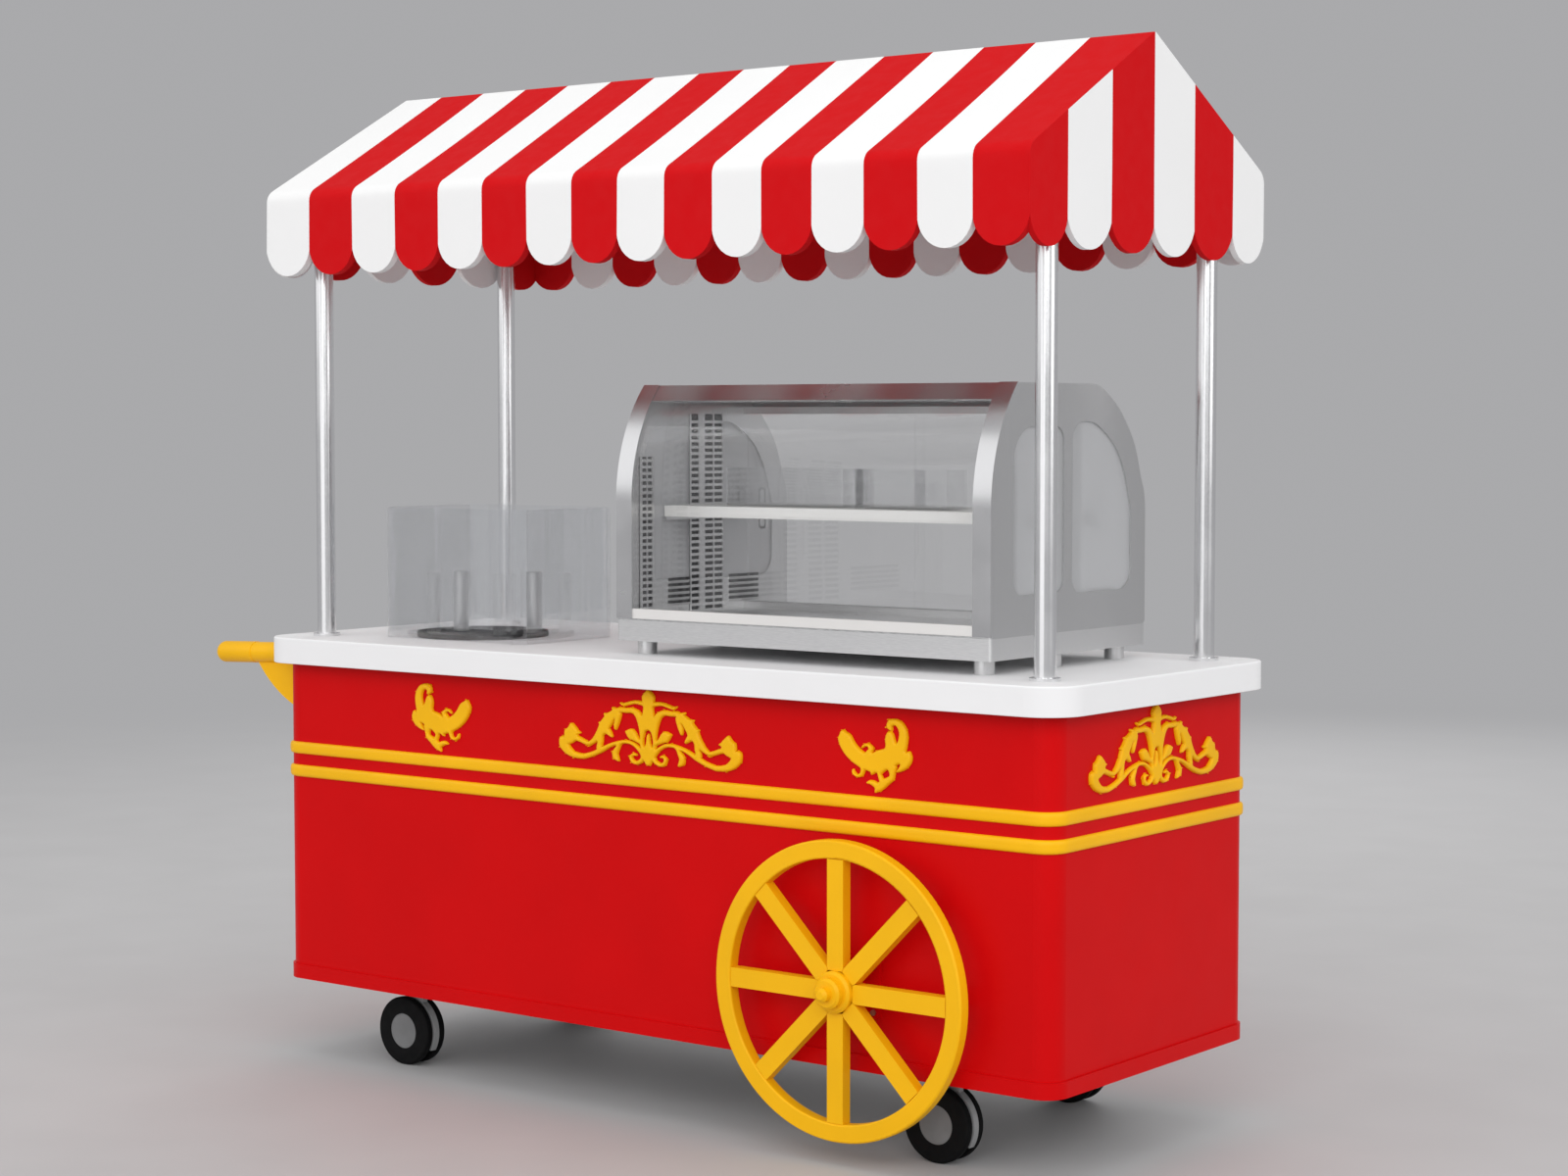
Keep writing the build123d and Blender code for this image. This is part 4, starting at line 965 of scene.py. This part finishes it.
def backdrop():
    """White light from all round, and a grey backdrop for what is seen, mirrored or seen through glass."""
    world = bpy.data.worlds.new("studio")
    world.use_nodes = True
    scene.world = world
    tree = world.node_tree
    lit = tree.nodes["Background"]
    lit.inputs["Color"].default_value = (1, 1, 1, 1)
    lit.inputs["Strength"].default_value = WORLD_LIGHT
    seen = tree.nodes.new("ShaderNodeBackground")
    seen.inputs["Color"].default_value = BACKDROP
    path = tree.nodes.new("ShaderNodeLightPath")
    rays = path.outputs["Is Camera Ray"]
    for ray in ("Is Glossy Ray", "Is Transmission Ray"):
        join = tree.nodes.new("ShaderNodeMath")
        join.operation = "MAXIMUM"
        tree.links.new(rays, join.inputs[0])
        tree.links.new(path.outputs[ray], join.inputs[1])
        rays = join.outputs[0]
    choose = tree.nodes.new("ShaderNodeMixShader")
    tree.links.new(rays, choose.inputs[0])
    tree.links.new(lit.outputs[0], choose.inputs[1])
    tree.links.new(seen.outputs[0], choose.inputs[2])
    tree.links.new(choose.outputs[0], tree.nodes["World Output"].inputs["Surface"])


def lamps():
    """Large soft lamps; the one behind the cart makes no mirror images."""
    for name, place, power, size in LAMPS:
        lamp = bpy.data.lights.new(name, "AREA")
        lamp.shape = "RECTANGLE"
        lamp.size, lamp.size_y = size
        lamp.energy = power
        made = bpy.data.objects.new(name, lamp)
        made.location = place
        aim = Vector(LAMP_AIM) - Vector(place)
        made.rotation_euler = aim.to_track_quat("-Z", "Y").to_euler()
        made.visible_camera = False
        made.visible_transmission = False
        made.visible_glossy = name != "back"
        scene.collection.objects.link(made)


def viewpoint():
    """The camera, with colours shown as they are."""
    camera = bpy.data.cameras.new("camera")
    camera.lens = CAMERA_LENS
    camera.sensor_fit = "HORIZONTAL"
    camera.sensor_width = CAMERA_SENSOR
    eye = bpy.data.objects.new("camera", camera)
    eye.location = CAMERA_PLACE
    eye.rotation_euler = (math.radians(CAMERA_PITCH), 0.0, math.radians(CAMERA_YAW))
    scene.collection.objects.link(eye)
    scene.camera = eye
    scene.view_settings.view_transform = "Standard"


pale_floor()
backdrop()
lamps()
viewpoint()
